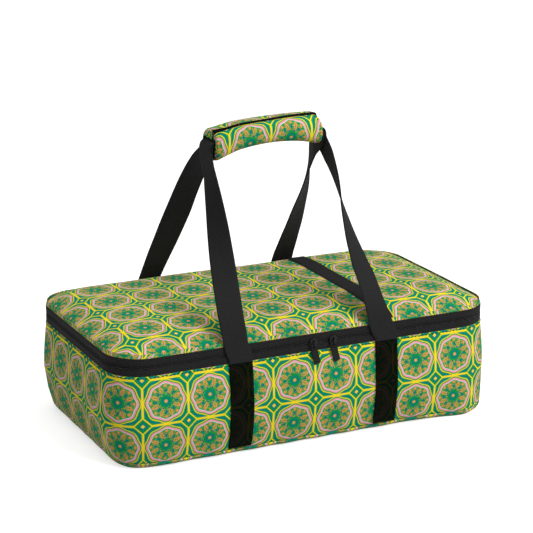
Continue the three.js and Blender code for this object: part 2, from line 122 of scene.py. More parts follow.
# Folded edges, as (inset, height) from the seam, and insets from the edge to the middle
TUB_HEM = np.array([(FABRIC, 0.003), (FABRIC * 0.8, 0.0002), (0.0002, 0)])
TUB_FOLD = np.array([(0, -0.0004), (0.0002, 0), (FABRIC * 0.7, -0.0001), (FABRIC, -0.004)])
LID_FOLD = np.array([(FABRIC, 0.004), (FABRIC * 0.7, 0.0001), (0.0002, 0)])
WELT = np.array([(-0.0003, -0.0022), (-0.0006, -0.0014), (-0.0004, -0.0006), (0.0006, -0.0002)])
WELT_HEIGHT = 0.003
WELT_SHIFT = 0.017
COVER_CLEAR = 0.0006
LID_CLEAR = 0.0002
LINER_CORNER = np.array([(0.003, 0), (0.0008, 0.0006)])
FLOOR_INSETS = [BOTTOM_TUCK, 0.014, 0.025, 0.045, 0.07, 0.095, MIDDLE_INSET]
TOP_INSETS = [0.085, 0.10, MIDDLE_INSET]
LINER_INSETS = [0.03, 0.06, 0.09, MIDDLE_INSET]

# Zip band. The sections are (inset, height) from their own lower or upper edge.
TAPE_CLEAR = 0.0017
TAPE_FOOT = np.array([(0.0006, 0), (0.0001, 0.0004), (0, 0.0010)])
TAPE_HEAD = np.array([(0.0001, -0.0003), (0.0006, 0), (FABRIC, -0.0002)])
TAPE_BACK = 0.0002
GROOVE = 0.0004
GROOVE_SHARES = [(0, 0.24), (1, 0.3), (0, 0.36), (0, 0.68), (1, 0.74), (0, 0.8)]
BINDING_SECTION = np.array([(0.0030, 0.0003), (0.0036, 0), (0.0073, 0), (0.0079, 0.0003), (0.0079, 0.0013),
                            (0.0073, 0.0016), (0.0036, 0.0016), (0.0030, 0.0013)])
BINDING_PLACES = {"tub": 0.1068, "lid": 0.1096}
COIL_SECTION = np.array([(0.0013, 0), (0.0007, 0.0003), (0.0006, 0.0009), (0.0013, 0.0012),
                         (0.0023, 0.0010), (0.0023, 0.0002), (0.0013, 0)])
COIL_DROP = 0.0014
COIL_GAP = 0.0002
COIL_PITCH = 0.002
TOOTH = 0.0005
TOOTH_SHARES = [0.2, 1, 1, 0.2, 0, 0, 0.2]
CREASE = 0.001
HINGE_BACK_SHIFT = 0.03

# Webbing
WEBBING_WIDTH = 0.026
WEBBING = 0.0018
SEWN_WEBBING = 0.0016
SEWN_FOOT = 0.009
STRAP_X = 0.083
LEG_GAP = 0.0004
CROSS_TAPE_WIDTH = 0.021
CROSS_TAPE = 0.0008
CROSS_TAPE_START = 0.0012
CROSS_TAPE_FLAT = 0.045
ALONG_X = np.array([1.0, 0, 0])
# A strap's section: its rounded edge in half thicknesses, a point on that edge, places on the face
STRAP_EDGE_SHARE = 0.9
STRAP_ROUND_SHARES = (0.3, 0.75)
STRAP_FACE_SHARES = (0.75, 0.4, 0, -0.4, -0.75)

# Stitches: each one's length, pitch and thickness
TUB_STITCH = (0.0026, 0.0042, 0.00045)
TUB_STITCH_DROP = 0.0019
LID_STITCH = (0.0026, 0.0040, 0.00030)
LID_STITCH_RISE = 0.0026
HEM_STITCH = (0.0024, 0.0038, 0.0003)
TAB_STITCH = (0.0016, 0.0024, 0.00025)
STITCH_BODY_SHARE = 0.3
STITCH_RISE_SHARE = 0.4
STITCH_RING_SHARES = [(1, 0), (0.5, 0.8), (-0.5, 0.8), (-1, 0), (-0.5, -0.5), (0.5, -0.5)]

# Grip wrap
WRAP_LENGTH = 0.124
WRAP_HEIGHT = 0.3063
WRAP_ARCH = 0.0055
WRAP_TILT = 0.0026
WRAP_DEPTH = 0.038
WRAP_THICKNESS = 0.024
WRAP_FLARE = 0.0076
WRAP_CORNER = 0.0105
WRAP_LIP = 0.0012
WRAP_SLACK = 0.0008
HOLLOW_HALF = WEBBING + WRAP_SLACK * 1.5
HOLLOW_DRAW_SHARE = 0.3
MIDDLE_SWELL_SHARE = 0.02
WRAP_END = 0.008
WRAP_ENDS = [(0, 0.0022), (0.0006, 0.0012), (0.0018, 0.0005), (0.0040, 0)]
WRINKLE = 0.0003
WRINKLE_LENGTH = 0.011
HOLLOW_SLACK = 0.0006
LEFT_DROOP = 0.0026
DROOP_START = 0.025
SLIT = -0.0085
SLIT_GAP = 0.0004
SLIT_START = -0.015
SLIT_VEER = 0.0095
SLIT_POWER = 1.3
FLAP_TRIM = 0.001
FLAP_SINK = 0.0015
PANEL_LIFT = 0.0006
LIP_REACH = 0.008
FASTENER = 0.0006
FASTENER_PROUD = 0.00015
FASTENER_DROP = 0.0024
FASTENER_REACH = 0.056
FOLD_REACH = 0.0055
FOLD_COVER = 0.0006

# Handle legs: share of the rise, of the reach to the middle, of the draw inwards, and of the sway
LEG_SWAY = 0.0045
LEG_END_SHARES = [(0.955, 1, 0.83, 0), (0.975, 1, 0.83, 0), (0.9925, 1, 0.89, 0)]
FRONT_LEG_SHARES = [
    (0, 0, 0, 0), (0.015, 0, 0, 0), (0.03, 0, 0, 0.1), (0.09, 0, 0.05, 1.3), (0.16, 0.005, 0.095, 2),
    (0.23, 0.055, 0.135, 2.3), (0.3, 0.17, 0.2, 1.85), (0.375, 0.35, 0.29, 0.85),
    (0.475, 0.51, 0.395, 0.25), (0.6, 0.64, 0.495, 0), (0.75, 0.77, 0.61, -0.1), (0.87, 0.89, 0.74, 0),
    (0.92, 0.965, 0.8, 0)] + LEG_END_SHARES
REAR_LEG_SHARES = [
    (0, 0, 0, 0), (0.015, 0, 0, 0), (0.03, 0, 0, 0), (0.09, 0, 0.05, 0.3), (0.16, 0.075, 0.11, 0.5),
    (0.23, 0.165, 0.15, 0.6), (0.3, 0.24, 0.19, 0.45), (0.375, 0.315, 0.24, 0.15),
    (0.475, 0.415, 0.32, -0.1), (0.6, 0.545, 0.425, -0.35), (0.75, 0.7, 0.59, -0.3),
    (0.87, 0.86, 0.74, 0), (0.92, 0.95, 0.8, 0)] + LEG_END_SHARES
TWIST_START_SHARE = 0.1
FRONT_TWIST_END_SHARE = 0.86
REAR_TWIST_END_SHARE = 0.97
RUN_START_SHARE = 0.6
RUN_END_SHARE = 0.95
FRONT_TWIST_POWER = 1
REAR_TWIST_POWER = 1.25

# Sliders and pulls
SLIDER_PLACES = {"left": -0.0015, "right": 0.021}
SLIDER_WIDTH = 0.009
SLIDER_HEIGHT = 0.009
SLIDER_THICKNESS = 0.0018
WIDE_PLATE = (SLIDER_WIDTH, SLIDER_THICKNESS, SLIDER_HEIGHT * 0.62)
TALL_PLATE = (SLIDER_WIDTH * 0.7, SLIDER_THICKNESS * 0.9, SLIDER_HEIGHT)
SLIDER_EDGE = 0.0008
BRIDGE_SIZE = (0.0018, 0.0010, 0.0064)
BRIDGE_OUT = 0.0023
BRIDGE_EDGE = 0.0004
POST_SIZE = (0.0018, 0.0026, 0.0010)
POST_OUT = 0.0013
POST_RISE = 0.0027
POST_EDGE = 0.0003
WIRE_RADIUS = 0.0005
WIRE_CORNER = 0.0012
TAB_WIDTH = 0.0074
TAB_THICKNESS = 0.0015
TAB_LEAN = 0.004
TAB_POWER = 1.2

# Steps and points of the curves. An outline's are for each corner, long side and short side.
BODY_STEPS = (14, 64, 34)
WALL_STEPS = (24, 176, 82)
COIL_STEPS = (120, 700, 320)
WALL_PROFILE_STEPS = 5
CROWN_POINTS = 17
DOME_POINTS = 9
HINGE_POINTS = 90
HINGE_ROWS = 15
CROSS_TAPE_POINTS = 10
RUN_STEPS = 8
LEG_STEPS = 6
WRAP_POINTS = 24
ARC_POINTS = 9
FASTENER_POINTS = 30
FOLD_POINTS = 40
FOLD_ROWS = 13
WIRE_POINTS = 6
WIRE_SIDES = 8
TAB_POINTS = 12

# Camera, found from the photograph's perspective
CAMERA_AZIMUTH = math.radians(-25.67)
CAMERA_ELEVATION = math.radians(16.38)
CAMERA_DISTANCE = 1.9918
CAMERA_TARGET = Vector((0.0036, 0, 0.1569))
CAMERA_CLIP = 20
SENSOR = 36
PHOTO_SIZE_PX = 533
FOCAL_PX = 1868.6

# Stage and lamps: place, target, size and power
FLOOR_SIZE = 14
FLOOR_GLOW = 0.62
WORLD_GLOW = 0.44
KEY_LAMP = ((1.3, -2.4, 2.3), (0, 0, 0.12), 1.6, 86)
TOP_LAMP = ((-0.2, 0.4, 3.0), (0, 0, 0.1), 2.2, 18)


# Geometry helpers

def smooth_path(points, per_span):
    """A smooth curve through points, with the given number of steps between each two."""
    points = np.asarray(points, float)
    padded = np.vstack([2 * points[0] - points[1], points, 2 * points[-1] - points[-2]])
    steps = (np.arange(per_span) / per_span)[:, None]
    spans = []
    for index in range(len(points) - 1):
        p0, p1, p2, p3 = padded[index:index + 4]
        d0, d1, d2 = (math.sqrt(np.linalg.norm(b - a)) for a, b in ((p0, p1), (p1, p2), (p2, p3)))
        t1 = ((p1 - p0) / d0 - (p2 - p0) / (d0 + d1) + (p2 - p1) / d1) * d1
        t2 = ((p2 - p1) / d1 - (p3 - p1) / (d1 + d2) + (p3 - p2) / d2) * d1
        square = -3 * p1 + 3 * p2 - 2 * t1 - t2
        cube = 2 * p1 - 2 * p2 + t1 + t2
        spans.append(p1 + t1 * steps + square * steps ** 2 + cube * steps ** 3)
    spans.append(points[-1:])
    return np.vstack(spans)


def run_lengths(path):
    """Distance along a path at each of its points."""
    return np.concatenate([[0], np.cumsum(np.linalg.norm(np.diff(path, axis=0), axis=1))])


def looped(rows):
    """The rows with the first one again at the end."""
    return np.vstack([rows, rows[:1]])


def unit(vectors):
    return vectors / np.linalg.norm(vectors, axis=-1, keepdims=True)


def smooth_share(value, low, high):
    """0 at low and 1 at high, with soft ends."""
    share = np.clip((value - low) / (high - low), 0, 1)
    return share * share * (3 - 2 * share)


def offset_profile(profile, distance):
    """A rising (inset, z) profile moved inwards."""
    along = unit(np.gradient(profile, axis=0))
    return profile + distance * np.stack([along[:, 1], -along[:, 0]], axis=1)


def offset_loop(loop, distance):
    """A closed anticlockwise outline moved inwards."""
    along = unit(np.roll(loop, -1, axis=0) - np.roll(loop, 1, axis=0))
    return loop + distance * np.stack([-along[:, 1], along[:, 0]], axis=1)


class Outline:
    """The carrier's rounded plan, anticlockwise from the rear left corner round the front."""

    def __init__(self, corner_steps, long_steps, short_steps, whole=True):
        rows = []
        corners = [(-1, 1), (-1, -1), (1, -1), (1, 1)]
        for corner, start in enumerate(corners):
            end = corners[(corner + 1) % len(corners)]
            steps = long_steps if corner % 2 else short_steps
            for step in range(corner_steps):
                angle = math.pi / 2 * (1 + corner + step / corner_steps)
                rows.append((*start, math.cos(angle), math.sin(angle)))
            facing = math.pi / 2 * (2 + corner)
            for step in range(steps):
                x, y = (low + (high - low) * (step / steps) for low, high in zip(start, end))
                rows.append((x, y, round(math.cos(facing)), round(math.sin(facing))))
        if not whole:
            rows = rows[:len(rows) - long_steps + 1]
        self.whole = whole
        self.centre_x, self.centre_y, self.out_x, self.out_y = np.array(rows, float).T
        base = self.at(0, 0)
        self.run = run_lengths(looped(base) if whole else base)
        front = np.argmin(np.abs(base[:, 0]) + (base[:, 1] > 0))
        self.run -= self.run[front]

    def at(self, inset, z, corner_share=1.0):
        """Points of the outline drawn in by an inset, at a height."""
        inset = np.broadcast_to(inset, self.centre_x.shape)
        radius = np.maximum(SMALLEST_CORNER, CORNER_RADIUS - inset * corner_share)
        x = self.centre_x * (BODY_LENGTH / 2 - inset - radius) + self.out_x * radius
        y = self.centre_y * (BODY_DEPTH / 2 - inset - radius) + self.out_y * radius
        return np.stack([x, y, np.broadcast_to(z, x.shape)], axis=1)

    def rows(self, profile, corner_share=1.0):
        """The outline at each (inset, z) of a profile."""
        return np.array([self.at(inset, z, corner_share) for inset, z in profile])


def grid_uv(rows, columns):
    """UVs from one place for each row and one for each column."""
    return np.stack(np.broadcast_arrays(rows[:, None], columns[None, :]), axis=2)


def band_uv(outline, runs):
    """UVs that run round the outline and up the profile."""
    return grid_uv(runs, outline.run)[:, :, ::-1]


def plan_uv(rows):
    """UVs straight from the plan, for closed rows."""
    plan = rows[:, :, :2]
    return np.concatenate([plan, plan[:, :1]], axis=1)


def side_uv(vertices, faces):
    """UVs as seen from the front, for small pieces."""
    return [[(vertices[i][0], vertices[i][2]) for i in face] for face in faces]


def add_mesh(name, vertices, faces, uvs, materials, face_materials=None):
    """A smooth-shaded mesh object with a UV in metres for each face corner."""
    mesh = bpy.data.meshes.new(name)
    mesh.from_pydata([tuple(v) for v in vertices], [], [tuple(f) for f in faces])
    layer = mesh.uv_layers.new(name="Cloth")
    flat = np.array([uv for corner in uvs for uv in corner], np.float32)
    layer.data.foreach_set("uv", flat.ravel())
    mesh.polygons.foreach_set("use_smooth", np.ones(len(mesh.polygons), bool))
    for material in materials:
        mesh.materials.append(material)
    if face_materials is not None:
        mesh.polygons.foreach_set("material_index", np.array(face_materials, np.int32))
    mesh.update()
    piece = bpy.data.objects.new(name, mesh)
    bpy.context.scene.collection.objects.link(piece)
    return piece


def weld_points(piece):
    work = bmesh.new()
    work.from_mesh(piece.data)
    bmesh.ops.remove_doubles(work, verts=work.verts, dist=WELD)
    work.to_mesh(piece.data)
    work.free()
    piece.data.update()


class Skin:
    """Collects grids of points into one mesh."""

    def __init__(self):
        self.vertices = []
        self.faces = []
        self.uvs = []
        self.slots = []

    def grid(self, points, uvs, closed=False, slot=0, flip=False):
        """points are rows by columns; uvs have one more column where the rows are closed."""
        rows, columns = points.shape[:2]
        start = len(self.vertices)
        self.vertices.extend(points.reshape(-1, 3))
        for row in range(rows - 1):
            for column in range(columns if closed else columns - 1):
                following = (column + 1) % columns
                corners = [(row, column, column), (row, following, column + 1),
                           (row + 1, following, column + 1), (row + 1, column, column)]
                if flip:
                    corners.reverse()
                self.faces.append([start + r * columns + c for r, c, _ in corners])
                self.uvs.append([tuple(uvs[r, u]) for r, _, u in corners])
                self.slots.append(slot)

    def fan(self, points, uvs, flip=False):
        """One flat face through a ring of points."""
        start = len(self.vertices)
        self.vertices.extend(points)
        order = list(range(len(points)))
        if flip:
            order.reverse()
        self.faces.append([start + i for i in order])
        self.uvs.append([tuple(uvs[i]) for i in order])
        self.slots.append(0)

    def disc(self, rows, flip=False):
        """Closed rows drawn in towards the middle, and the face that closes them."""
        self.grid(rows, plan_uv(rows), closed=True, flip=flip)
        self.fan(rows[-1], rows[-1][:, :2], flip=flip)

    def ends(self, rows, section):
        """Closes both ends of a tube whose last row repeats its first."""
        self.fan(rows[:-1, 0], section)
        self.fan(rows[:-1, -1], section, flip=True)

    def finish(self, name, materials, weld=True):
        piece = add_mesh(name, self.vertices, self.faces, self.uvs, materials, self.slots)
        if weld:
            weld_points(piece)
        return piece


def dress(piece, body, slot, *nodes):
    """Lets a piece move with its body, in place of the solids named. The slot is not used."""
    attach(piece, body)
    if nodes:
        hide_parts(*nodes)


# Materials

class Paint:
    """Builds a node material; its sums take sockets or plain numbers."""

    def __init__(self, name):
        self.material = bpy.data.materials.new(name)
        self.material.use_nodes = True
        self.tree = self.material.node_tree
        self.shader = self.tree.nodes["Principled BSDF"]

    def node(self, kind, **inputs):
        node = self.tree.nodes.new(kind)
        self.feed_all(node, inputs)
        return node

    def look(self, **inputs):
        """Sets the shader's own inputs."""
        self.feed_all(self.shader, inputs)

    def feed_all(self, node, inputs):
        for key, value in inputs.items():
            self.feed(node.inputs[key.replace("_", " ")], value)

    def feed(self, socket, value):
        if isinstance(value, bpy.types.NodeSocket):
            self.tree.links.new(value, socket)
        else:
            socket.default_value = value

    def sum(self, operation, *values):
        node = self.tree.nodes.new("ShaderNodeMath")
        node.operation = operation
        for socket, value in zip(node.inputs, values):
            self.feed(socket, value)
        return node.outputs[0]

    def times(self, first, second):
        return self.sum("MULTIPLY", first, second)

    def plus(self, first, second):
        return self.sum("ADD", first, second)

    def wave(self, value, length):
        """A sine with the given wavelength."""
        return self.sum("SINE", self.times(value, 2 * math.pi / length))

    def mix(self, factor, first, second, blend="MIX"):
        node = self.tree.nodes.new("ShaderNodeMix")
        node.data_type = "RGBA"
        node.blend_type = blend
        self.feed(node.inputs[0], factor)
        self.feed(node.inputs[6], first)
        self.feed(node.inputs[7], second)
        return node.outputs[2]

    def cloth_uv(self):
        source = self.tree.nodes.new("ShaderNodeUVMap")
        source.uv_map = "Cloth"
        split = self.node("ShaderNodeSeparateXYZ", Vector=source.outputs[0])
        return source.outputs[0], split.outputs[0], split.outputs[1]

    def places(self):
        return self.tree.nodes.new("ShaderNodeTexCoord").outputs["Object"]

    def noise(self, vector, scale, detail):
        node = self.node("ShaderNodeTexNoise", Vector=vector, Scale=scale, Detail=detail)
        return node.outputs["Fac"]

    def ramp(self, value, zero, one):
        """0 to 1 as the value goes from zero to one."""
        node = self.node("ShaderNodeMapRange", Value=value, From_Min=zero, From_Max=one)
        return node.outputs[0]

    def inside(self, value, low, high, soft):
        """1 between low and high, falling to 0 over soft."""
        rising = self.ramp(value, low - soft, low + soft)
        falling = self.ramp(value, high + soft, high - soft)
        return self.times(rising, falling)

    def bump(self, height, strength, distance):
        node = self.node("ShaderNodeBump", Height=height, Strength=strength, Distance=distance)
        self.tree.links.new(node.outputs[0], self.shader.inputs["Normal"])


def rgb(red, green, blue):
    """A colour given as it looks on screen, 0 to 255."""
    def linear(value):
        value /= 255
        return value / 12.92 if value <= 0.04045 else ((value + 0.055) / 1.055) ** 2.4
    return (linear(red), linear(green), linear(blue), 1.0)


def grey(level):
    return (level, level, level, 1)


def tinted(colour, share):
    """The colour made darker or lighter."""
    return tuple(min(1, part * share) for part in colour[:3]) + (1,)


GREEN = rgb(0, 150, 72)
LEAF = rgb(44, 176, 74)
TEAL = rgb(0, 124, 126)
YELLOW = rgb(255, 228, 40)
PINK = rgb(250, 158, 172)
PALE = rgb(216, 216, 218)
ORANGE = rgb(240, 156, 84)
BLUE = rgb(30, 76, 140)

# Pitches and depths of the weaves, and noise scales for each metre
PRINT_PERIOD = 0.04715
THREAD_PITCH = 0.0007
RIB_PITCH = 0.0014
WEBBING_PITCH = 0.0016
THREAD_DEPTH = 0.00012
RIB_DEPTH = 0.0002
WEBBING_DEPTH = 0.00018
GRAIN_DEPTH = 0.0003
LOBES = 8
FLECKS = 520
MOTTLES = 830
LINT = 900
GLINT_SPECKS = 1400
WEAR = 9

# Parts of the print. Of a medallion's radius, or of a cell: from, to, and the soft edge. The rings,
# the heart and the petals' arch fade in from the first place to the second.
GHOST_SHARE = 0.012
LOBE_SHARE = 0.014
REACH_SHARE = 0.425
HALO_SHARES = [(1.16, 1.25, 0.012, TEAL), (1.06, 1.105, 0.012, YELLOW)]
TRELLIS_SHARES = [(0.477, 0.6, 0.006, YELLOW)]
DIAMOND_SHARES = [(0.80, 1.1, 0.008, YELLOW), (0.835, 1.1, 0.008, GREEN), (0.9, 1.1, 0.008, TEAL),
                  (0.955, 1.1, 0.008, YELLOW)]
RING_SHARES = [(1.012, 0.988), (0.925, 0.91), (0.88, 0.864)]
HEART_SHARES = [(0.33, 0.31, GREEN), (0.24, 0.22, TEAL), (0.16, 0.14, GREEN), (0.09, 0.075, ORANGE),
                (0.05, 0.035, PINK)]
ARCH_SHARES = (0.34, 0.88)
PETAL_WIDTH_SHARE = 0.205
PETAL_SHARES = (0.36, 0.86, 0.01)
FLECK_SHARES = (0.34, 0.85, 0.02)
FLECK_STRENGTH_SHARE = 0.85
# Marks on the petals: across a petal, along the radius, colour
MARK_SHARES = [((-0.2, 0.04, 0.02), (0.46, 0.7, 0.02), GREEN),
               ((0.4, 0.6, 0.02), (0.71, 0.83, 0.02), ORANGE),
               ((0.36, 0.6, 0.02), (0.46, 0.62, 0.02), TEAL),
               ((-0.2, 0.12, 0.03), (0.36, 0.43, 0.012), BLUE)]


def paint_petals(paint, share, petal, mottle):
    """How much of the petals' colour shows: eight petals broken up by specks."""
    arch = paint.sum("SINE", paint.times(paint.ramp(share, *ARCH_SHARES), math.pi))
    edge = paint.sum("SUBTRACT", petal, paint.times(arch, PETAL_WIDTH_SHARE))
    petals = paint.times(paint.ramp(edge, 0.02, -0.02), paint.inside(share, *PETAL_SHARES))
    petals = paint.times(petals, paint.ramp(mottle, 0.57, 0.5))
    flecks = paint.times(paint.ramp(mottle, 0.57, 0.61), paint.inside(share, *FLECK_SHARES))
    return paint.sum("MAXIMUM", petals, paint.times(flecks, FLECK_STRENGTH_SHARE))


def print_colour(paint, across, along, vector):
    """Lobed medallions set in straight rows, with a trellis and small diamonds between them."""
    cell_x, cell_y = (paint.sum("SUBTRACT", paint.sum("FRACT", paint.sum("DIVIDE", way, PRINT_PERIOD)), 0.5)
                      for way in (across, along))
    size_x, size_y = (paint.sum("ABSOLUTE", cell) for cell in (cell_x, cell_y))
    radius = paint.sum("SQRT", paint.plus(paint.times(cell_x, cell_x), paint.times(cell_y, cell_y)))
    angle = paint.sum("ARCTAN2", cell_y, cell_x)
    lobes = paint.sum("COSINE", paint.times(angle, LOBES))
    share = paint.sum("DIVIDE", radius, paint.plus(REACH_SHARE, paint.times(lobes, LOBE_SHARE)))
    turn = paint.sum("FRACT", paint.plus(paint.times(angle, LOBES / (2 * math.pi)), LOBES))
    petal = paint.sum("ABSOLUTE", paint.sum("SUBTRACT", turn, 0.5))
    fleck = paint.noise(vector, FLECKS, 1)
    mottle = paint.noise(vector, MOTTLES, 1)

    colour = paint.mix(paint.ramp(fleck, 0.5, 0.62), GREEN, LEAF)
    for value, bands in ((share, HALO_SHARES), (paint.sum("MAXIMUM", size_x, size_y), TRELLIS_SHARES),
                         (paint.plus(size_x, size_y), DIAMOND_SHARES)):
        for low, high, soft, tone in bands:
            colour = paint.mix(paint.inside(value, low, high, soft), colour, tone)
    inner = paint.mix(paint.ramp(fleck, 0.52, 0.6), GREEN, LEAF)
    for (start, full), tone in zip(RING_SHARES, (PINK, PALE, inner)):
        colour = paint.mix(paint.ramp(share, start, full), colour, tone)
    colour = paint.mix(paint_petals(paint, share, petal, mottle), colour, ORANGE)
    for over_petal, over_radius, tone in MARK_SHARES:
        mark = paint.times(paint.inside(petal, *over_petal), paint.inside(share, *over_radius))
        colour = paint.mix(mark, colour, tone)
    for start, full, tone in HEART_SHARES:
        colour = paint.mix(paint.ramp(share, start, full), colour, tone)
    return colour


def printed_cloth():
    """Printed canvas, a little worn, with a plain weave."""
    paint = Paint("printed_cloth")
    vector, across, along = paint.cloth_uv()
    colour = print_colour(paint, across, along, vector)
    worn = paint.noise(paint.places(), WEAR, 3)
    tint = paint.mix(paint.ramp(worn, 0.3, 0.7), grey(0.88), grey(1))
    paint.look(Base_Color=paint.mix(1.0, colour, tint, "MULTIPLY"), Roughness=0.82, Sheen_Weight=0.02,
               Specular_IOR_Level=0.12)
    weave = paint.times(paint.wave(across, THREAD_PITCH), paint.wave(along, THREAD_PITCH))
    paint.bump(weave, 0.35, THREAD_DEPTH)
    return paint.material


def woven_black(name, tone, rough, ghost=False):
    """Black webbing with chevron ribs; ghost leaves a faint trace of the print."""
    paint = Paint(name)
    vector, across, along = paint.cloth_uv()
    slant = paint.plus(along, paint.times(paint.sum("PINGPONG", across, WEBBING_PITCH * 2), 0.8))
    cords = paint.wave(across, WEBBING_PITCH / 0.8)
    height = paint.plus(paint.wave(slant, WEBBING_PITCH), paint.times(cords, 0.7))
    colour = paint.mix(paint.ramp(height, -1.7, 1.7), tinted(tone, 0.72), tone)
    colour = paint.mix(paint.ramp(paint.noise(vector, LINT, 2), 0.55, 0.8), colour, tinted(tone, 1.5))
    if ghost:
        colour = paint.mix(GHOST_SHARE, colour, print_colour(paint, across, along, vector))
    paint.look(Base_Color=colour, Roughness=rough, Sheen_Weight=0.02,
               Specular_IOR_Level=0.03 if ghost else 0.1)
    paint.bump(height, 0.5, WEBBING_DEPTH)
    return paint.material


def zip_cloth():
    """The zip's ribbed tape, with light specks that are painted glints."""
    paint = Paint("zip_cloth")
    vector, across, along = paint.cloth_uv()
    height = paint.plus(paint.wave(across, RIB_PITCH), paint.times(paint.wave(along, THREAD_PITCH), 0.5))
    colour = paint.mix(paint.ramp(height, -1.5, 1.5), rgb(20, 20, 20), rgb(38, 37, 38))
    # Light specks on the ribs: painted glints.
    colour = paint.mix(paint.ramp(paint.noise(vector, GLINT_SPECKS, 1), 0.56, 0.7), colour, rgb(60, 59, 60))
    paint.look(Base_Color=colour, Roughness=0.8, Specular_IOR_Level=0.12)
    paint.bump(height, 0.6, RIB_DEPTH)
    return paint.material


def plain_finish(name, colour, rough, scale, strength, metallic=0.0, shine=0.5):
    """A single-colour finish with fine mottling and grain."""
    paint = Paint(name)
    grain = paint.noise(paint.places(), scale, 3)
    mottled = paint.mix(paint.ramp(grain, 0.3, 0.7), tinted(colour, 0.8), colour)
    paint.look(Base_Color=mottled, Roughness=rough, Metallic=metallic, Specular_IOR_Level=shine)
    paint.bump(grain, strength, GRAIN_DEPTH)
    return paint.material


PRINT = printed_cloth()
STRAP = woven_black("webbing", rgb(38, 38, 39), 0.85)
SEWN = woven_black("sewn_webbing", rgb(2, 3, 2), 0.9, ghost=True)
ZIP = zip_cloth()
COIL = plain_finish("zip_coil", rgb(36, 36, 37), 0.7, 900, 0.2, shine=0.15)
METAL = plain_finish("slider_metal", rgb(26, 25, 27), 0.45, 700, 0.1, metallic=0.4, shine=0.3)
THREAD = plain_finish("black_thread", rgb(22, 20, 20), 0.8, 1500, 0.3, shine=0.2)
FOAM = plain_finish("foam", rgb(232, 230, 224), 0.95, 1200, 0.6)
LINER = plain_finish("liner", rgb(190, 194, 199), 0.38, 60, 0.5)
BOARD = plain_finish("board", rgb(150, 146, 140), 0.7, 500, 0.3)
LINING = plain_finish("black_lining", rgb(10, 10, 11), 0.9, 900, 0.4, shine=0.1)
# Hook and loop tape, near black. Its black also stands in for the shade in the slit's gap: painted shade.
HOOK_AND_SLIT_SHADE = plain_finish("hook_and_loop", rgb(9, 9, 10), 0.95, 2200, 1.0, shine=0.1)


# Soft body

def turns(run, length):
    """How far round its circle a wave of this length is."""
    return run * 2 * math.pi / length


def ripple(run, z):
    """How far the soft wall stands in or out: slow waves, and puckers along the bottom seam."""
    up = math.pi * np.clip(z / TUB_HEIGHT, 0, 1)
    slow = WAVE * np.sin(turns(run, WAVE_LENGTH) + WAVE_PHASE) * np.sin(up)
    swell = SWELL * np.sin(turns(run, SWELL_LENGTH) + WANDER * np.sin(turns(run, WANDER_LENGTH)))
    pucker = PUCKER * np.sin(turns(run, PUCKER_LENGTH) + DRIFT * np.sin(turns(run, DRIFT_LENGTH)))
    calm = CALM_SHARE + (1 - CALM_SHARE) * smooth_share(np.abs(run), CALM_START, CALM_END)
    near_foot = calm * np.exp(-((z - BOTTOM_SEAM) / FOOT_REACH) ** 2)
    at_seam = np.exp(-((z - BOTTOM_SEAM) / SEAM_REACH) ** 2)
    return slow + swell * near_foot + pucker * at_seam


def wall_profile():
    """The wall's (inset, z) line, from under the bottom edge up to the band."""
    bottom = [(BOTTOM_TUCK * inward, BOTTOM_ROUND * up) for inward, up in TUCK_SHARES]
    side = [(-WALL_BULGE * outward, TUB_HEIGHT * up) for outward, up in BULGE_SHARES]
    return smooth_path(bottom + side, WALL_PROFILE_STEPS)


def crown_profile():
    """The lid's rounded edge and, from there, its slightly domed top."""
    angles = np.linspace(0, math.pi / 2, CROWN_POINTS)
    edge = np.stack([CROWN_INSET * (1 - np.cos(angles) ** CROWN_POWER),
                     BAND_TOP + CROWN_RISE * np.sin(angles) ** CROWN_POWER], axis=1)
    inset = np.linspace(CROWN_INSET, DOME_INSET, DOME_POINTS)[1:]
    share = (inset - CROWN_INSET) / (DOME_INSET - CROWN_INSET)
    dome = np.stack([inset, BAND_TOP + CROWN_RISE + DOME_RISE * np.sin(share * math.pi / 2)], axis=1)
    return np.vstack([edge, dome])


BODY = Outline(*BODY_STEPS)
WALL_OUTLINE = Outline(*WALL_STEPS)
WALL = wall_profile()
CROWN = crown_profile()


def wall_inset(z):
    return np.interp(z, WALL[:, 1], WALL[:, 0])


def wall_rows(profile):
    """Rows of wall points with the soft ripple, and each end's own foot."""
    x, y = WALL_OUTLINE.at(0, 0)[:, :2].T
    run = WALL_OUTLINE.run[:len(x)]
    right = smooth_share(x, RIGHT_FILL_START, RIGHT_FILL_END) * smooth_share(y, FILL_REAR, FILL_FRONT)
    ends = ((right, RIGHT_FOOT), (smooth_share(x, LEFT_FILL_START, LEFT_FILL_END), LEFT_FOOT))
    rows = []
    for inset, z in profile:
        drawn = inset
        for share, foot in ends:
            heights, insets = zip(*foot)
            if z < heights[-1]:
                drawn = drawn + share * (np.interp(z, heights, insets) - inset)
        rows.append(WALL_OUTLINE.at(drawn - ripple(run, z), z))
    return np.array(rows)


def lid_puff(points):
    """Slow swell of the lid's soft top, none at the band."""
    x, y, z = points.T
    fade = np.clip((z - BAND_TOP) / CROWN_RISE, 0, 1)
    return fade * PUFF * np.sin(turns(x, PUFF_LENGTH) + PUFF_PHASE) * np.cos(turns(y, PUFF_DEPTH))


def crown_rows(profile):
    rows = BODY.rows(profile, CROWN_CORNER_SHARE)
    for ring in rows:
        ring[:, 2] += lid_puff(ring)
    return rows


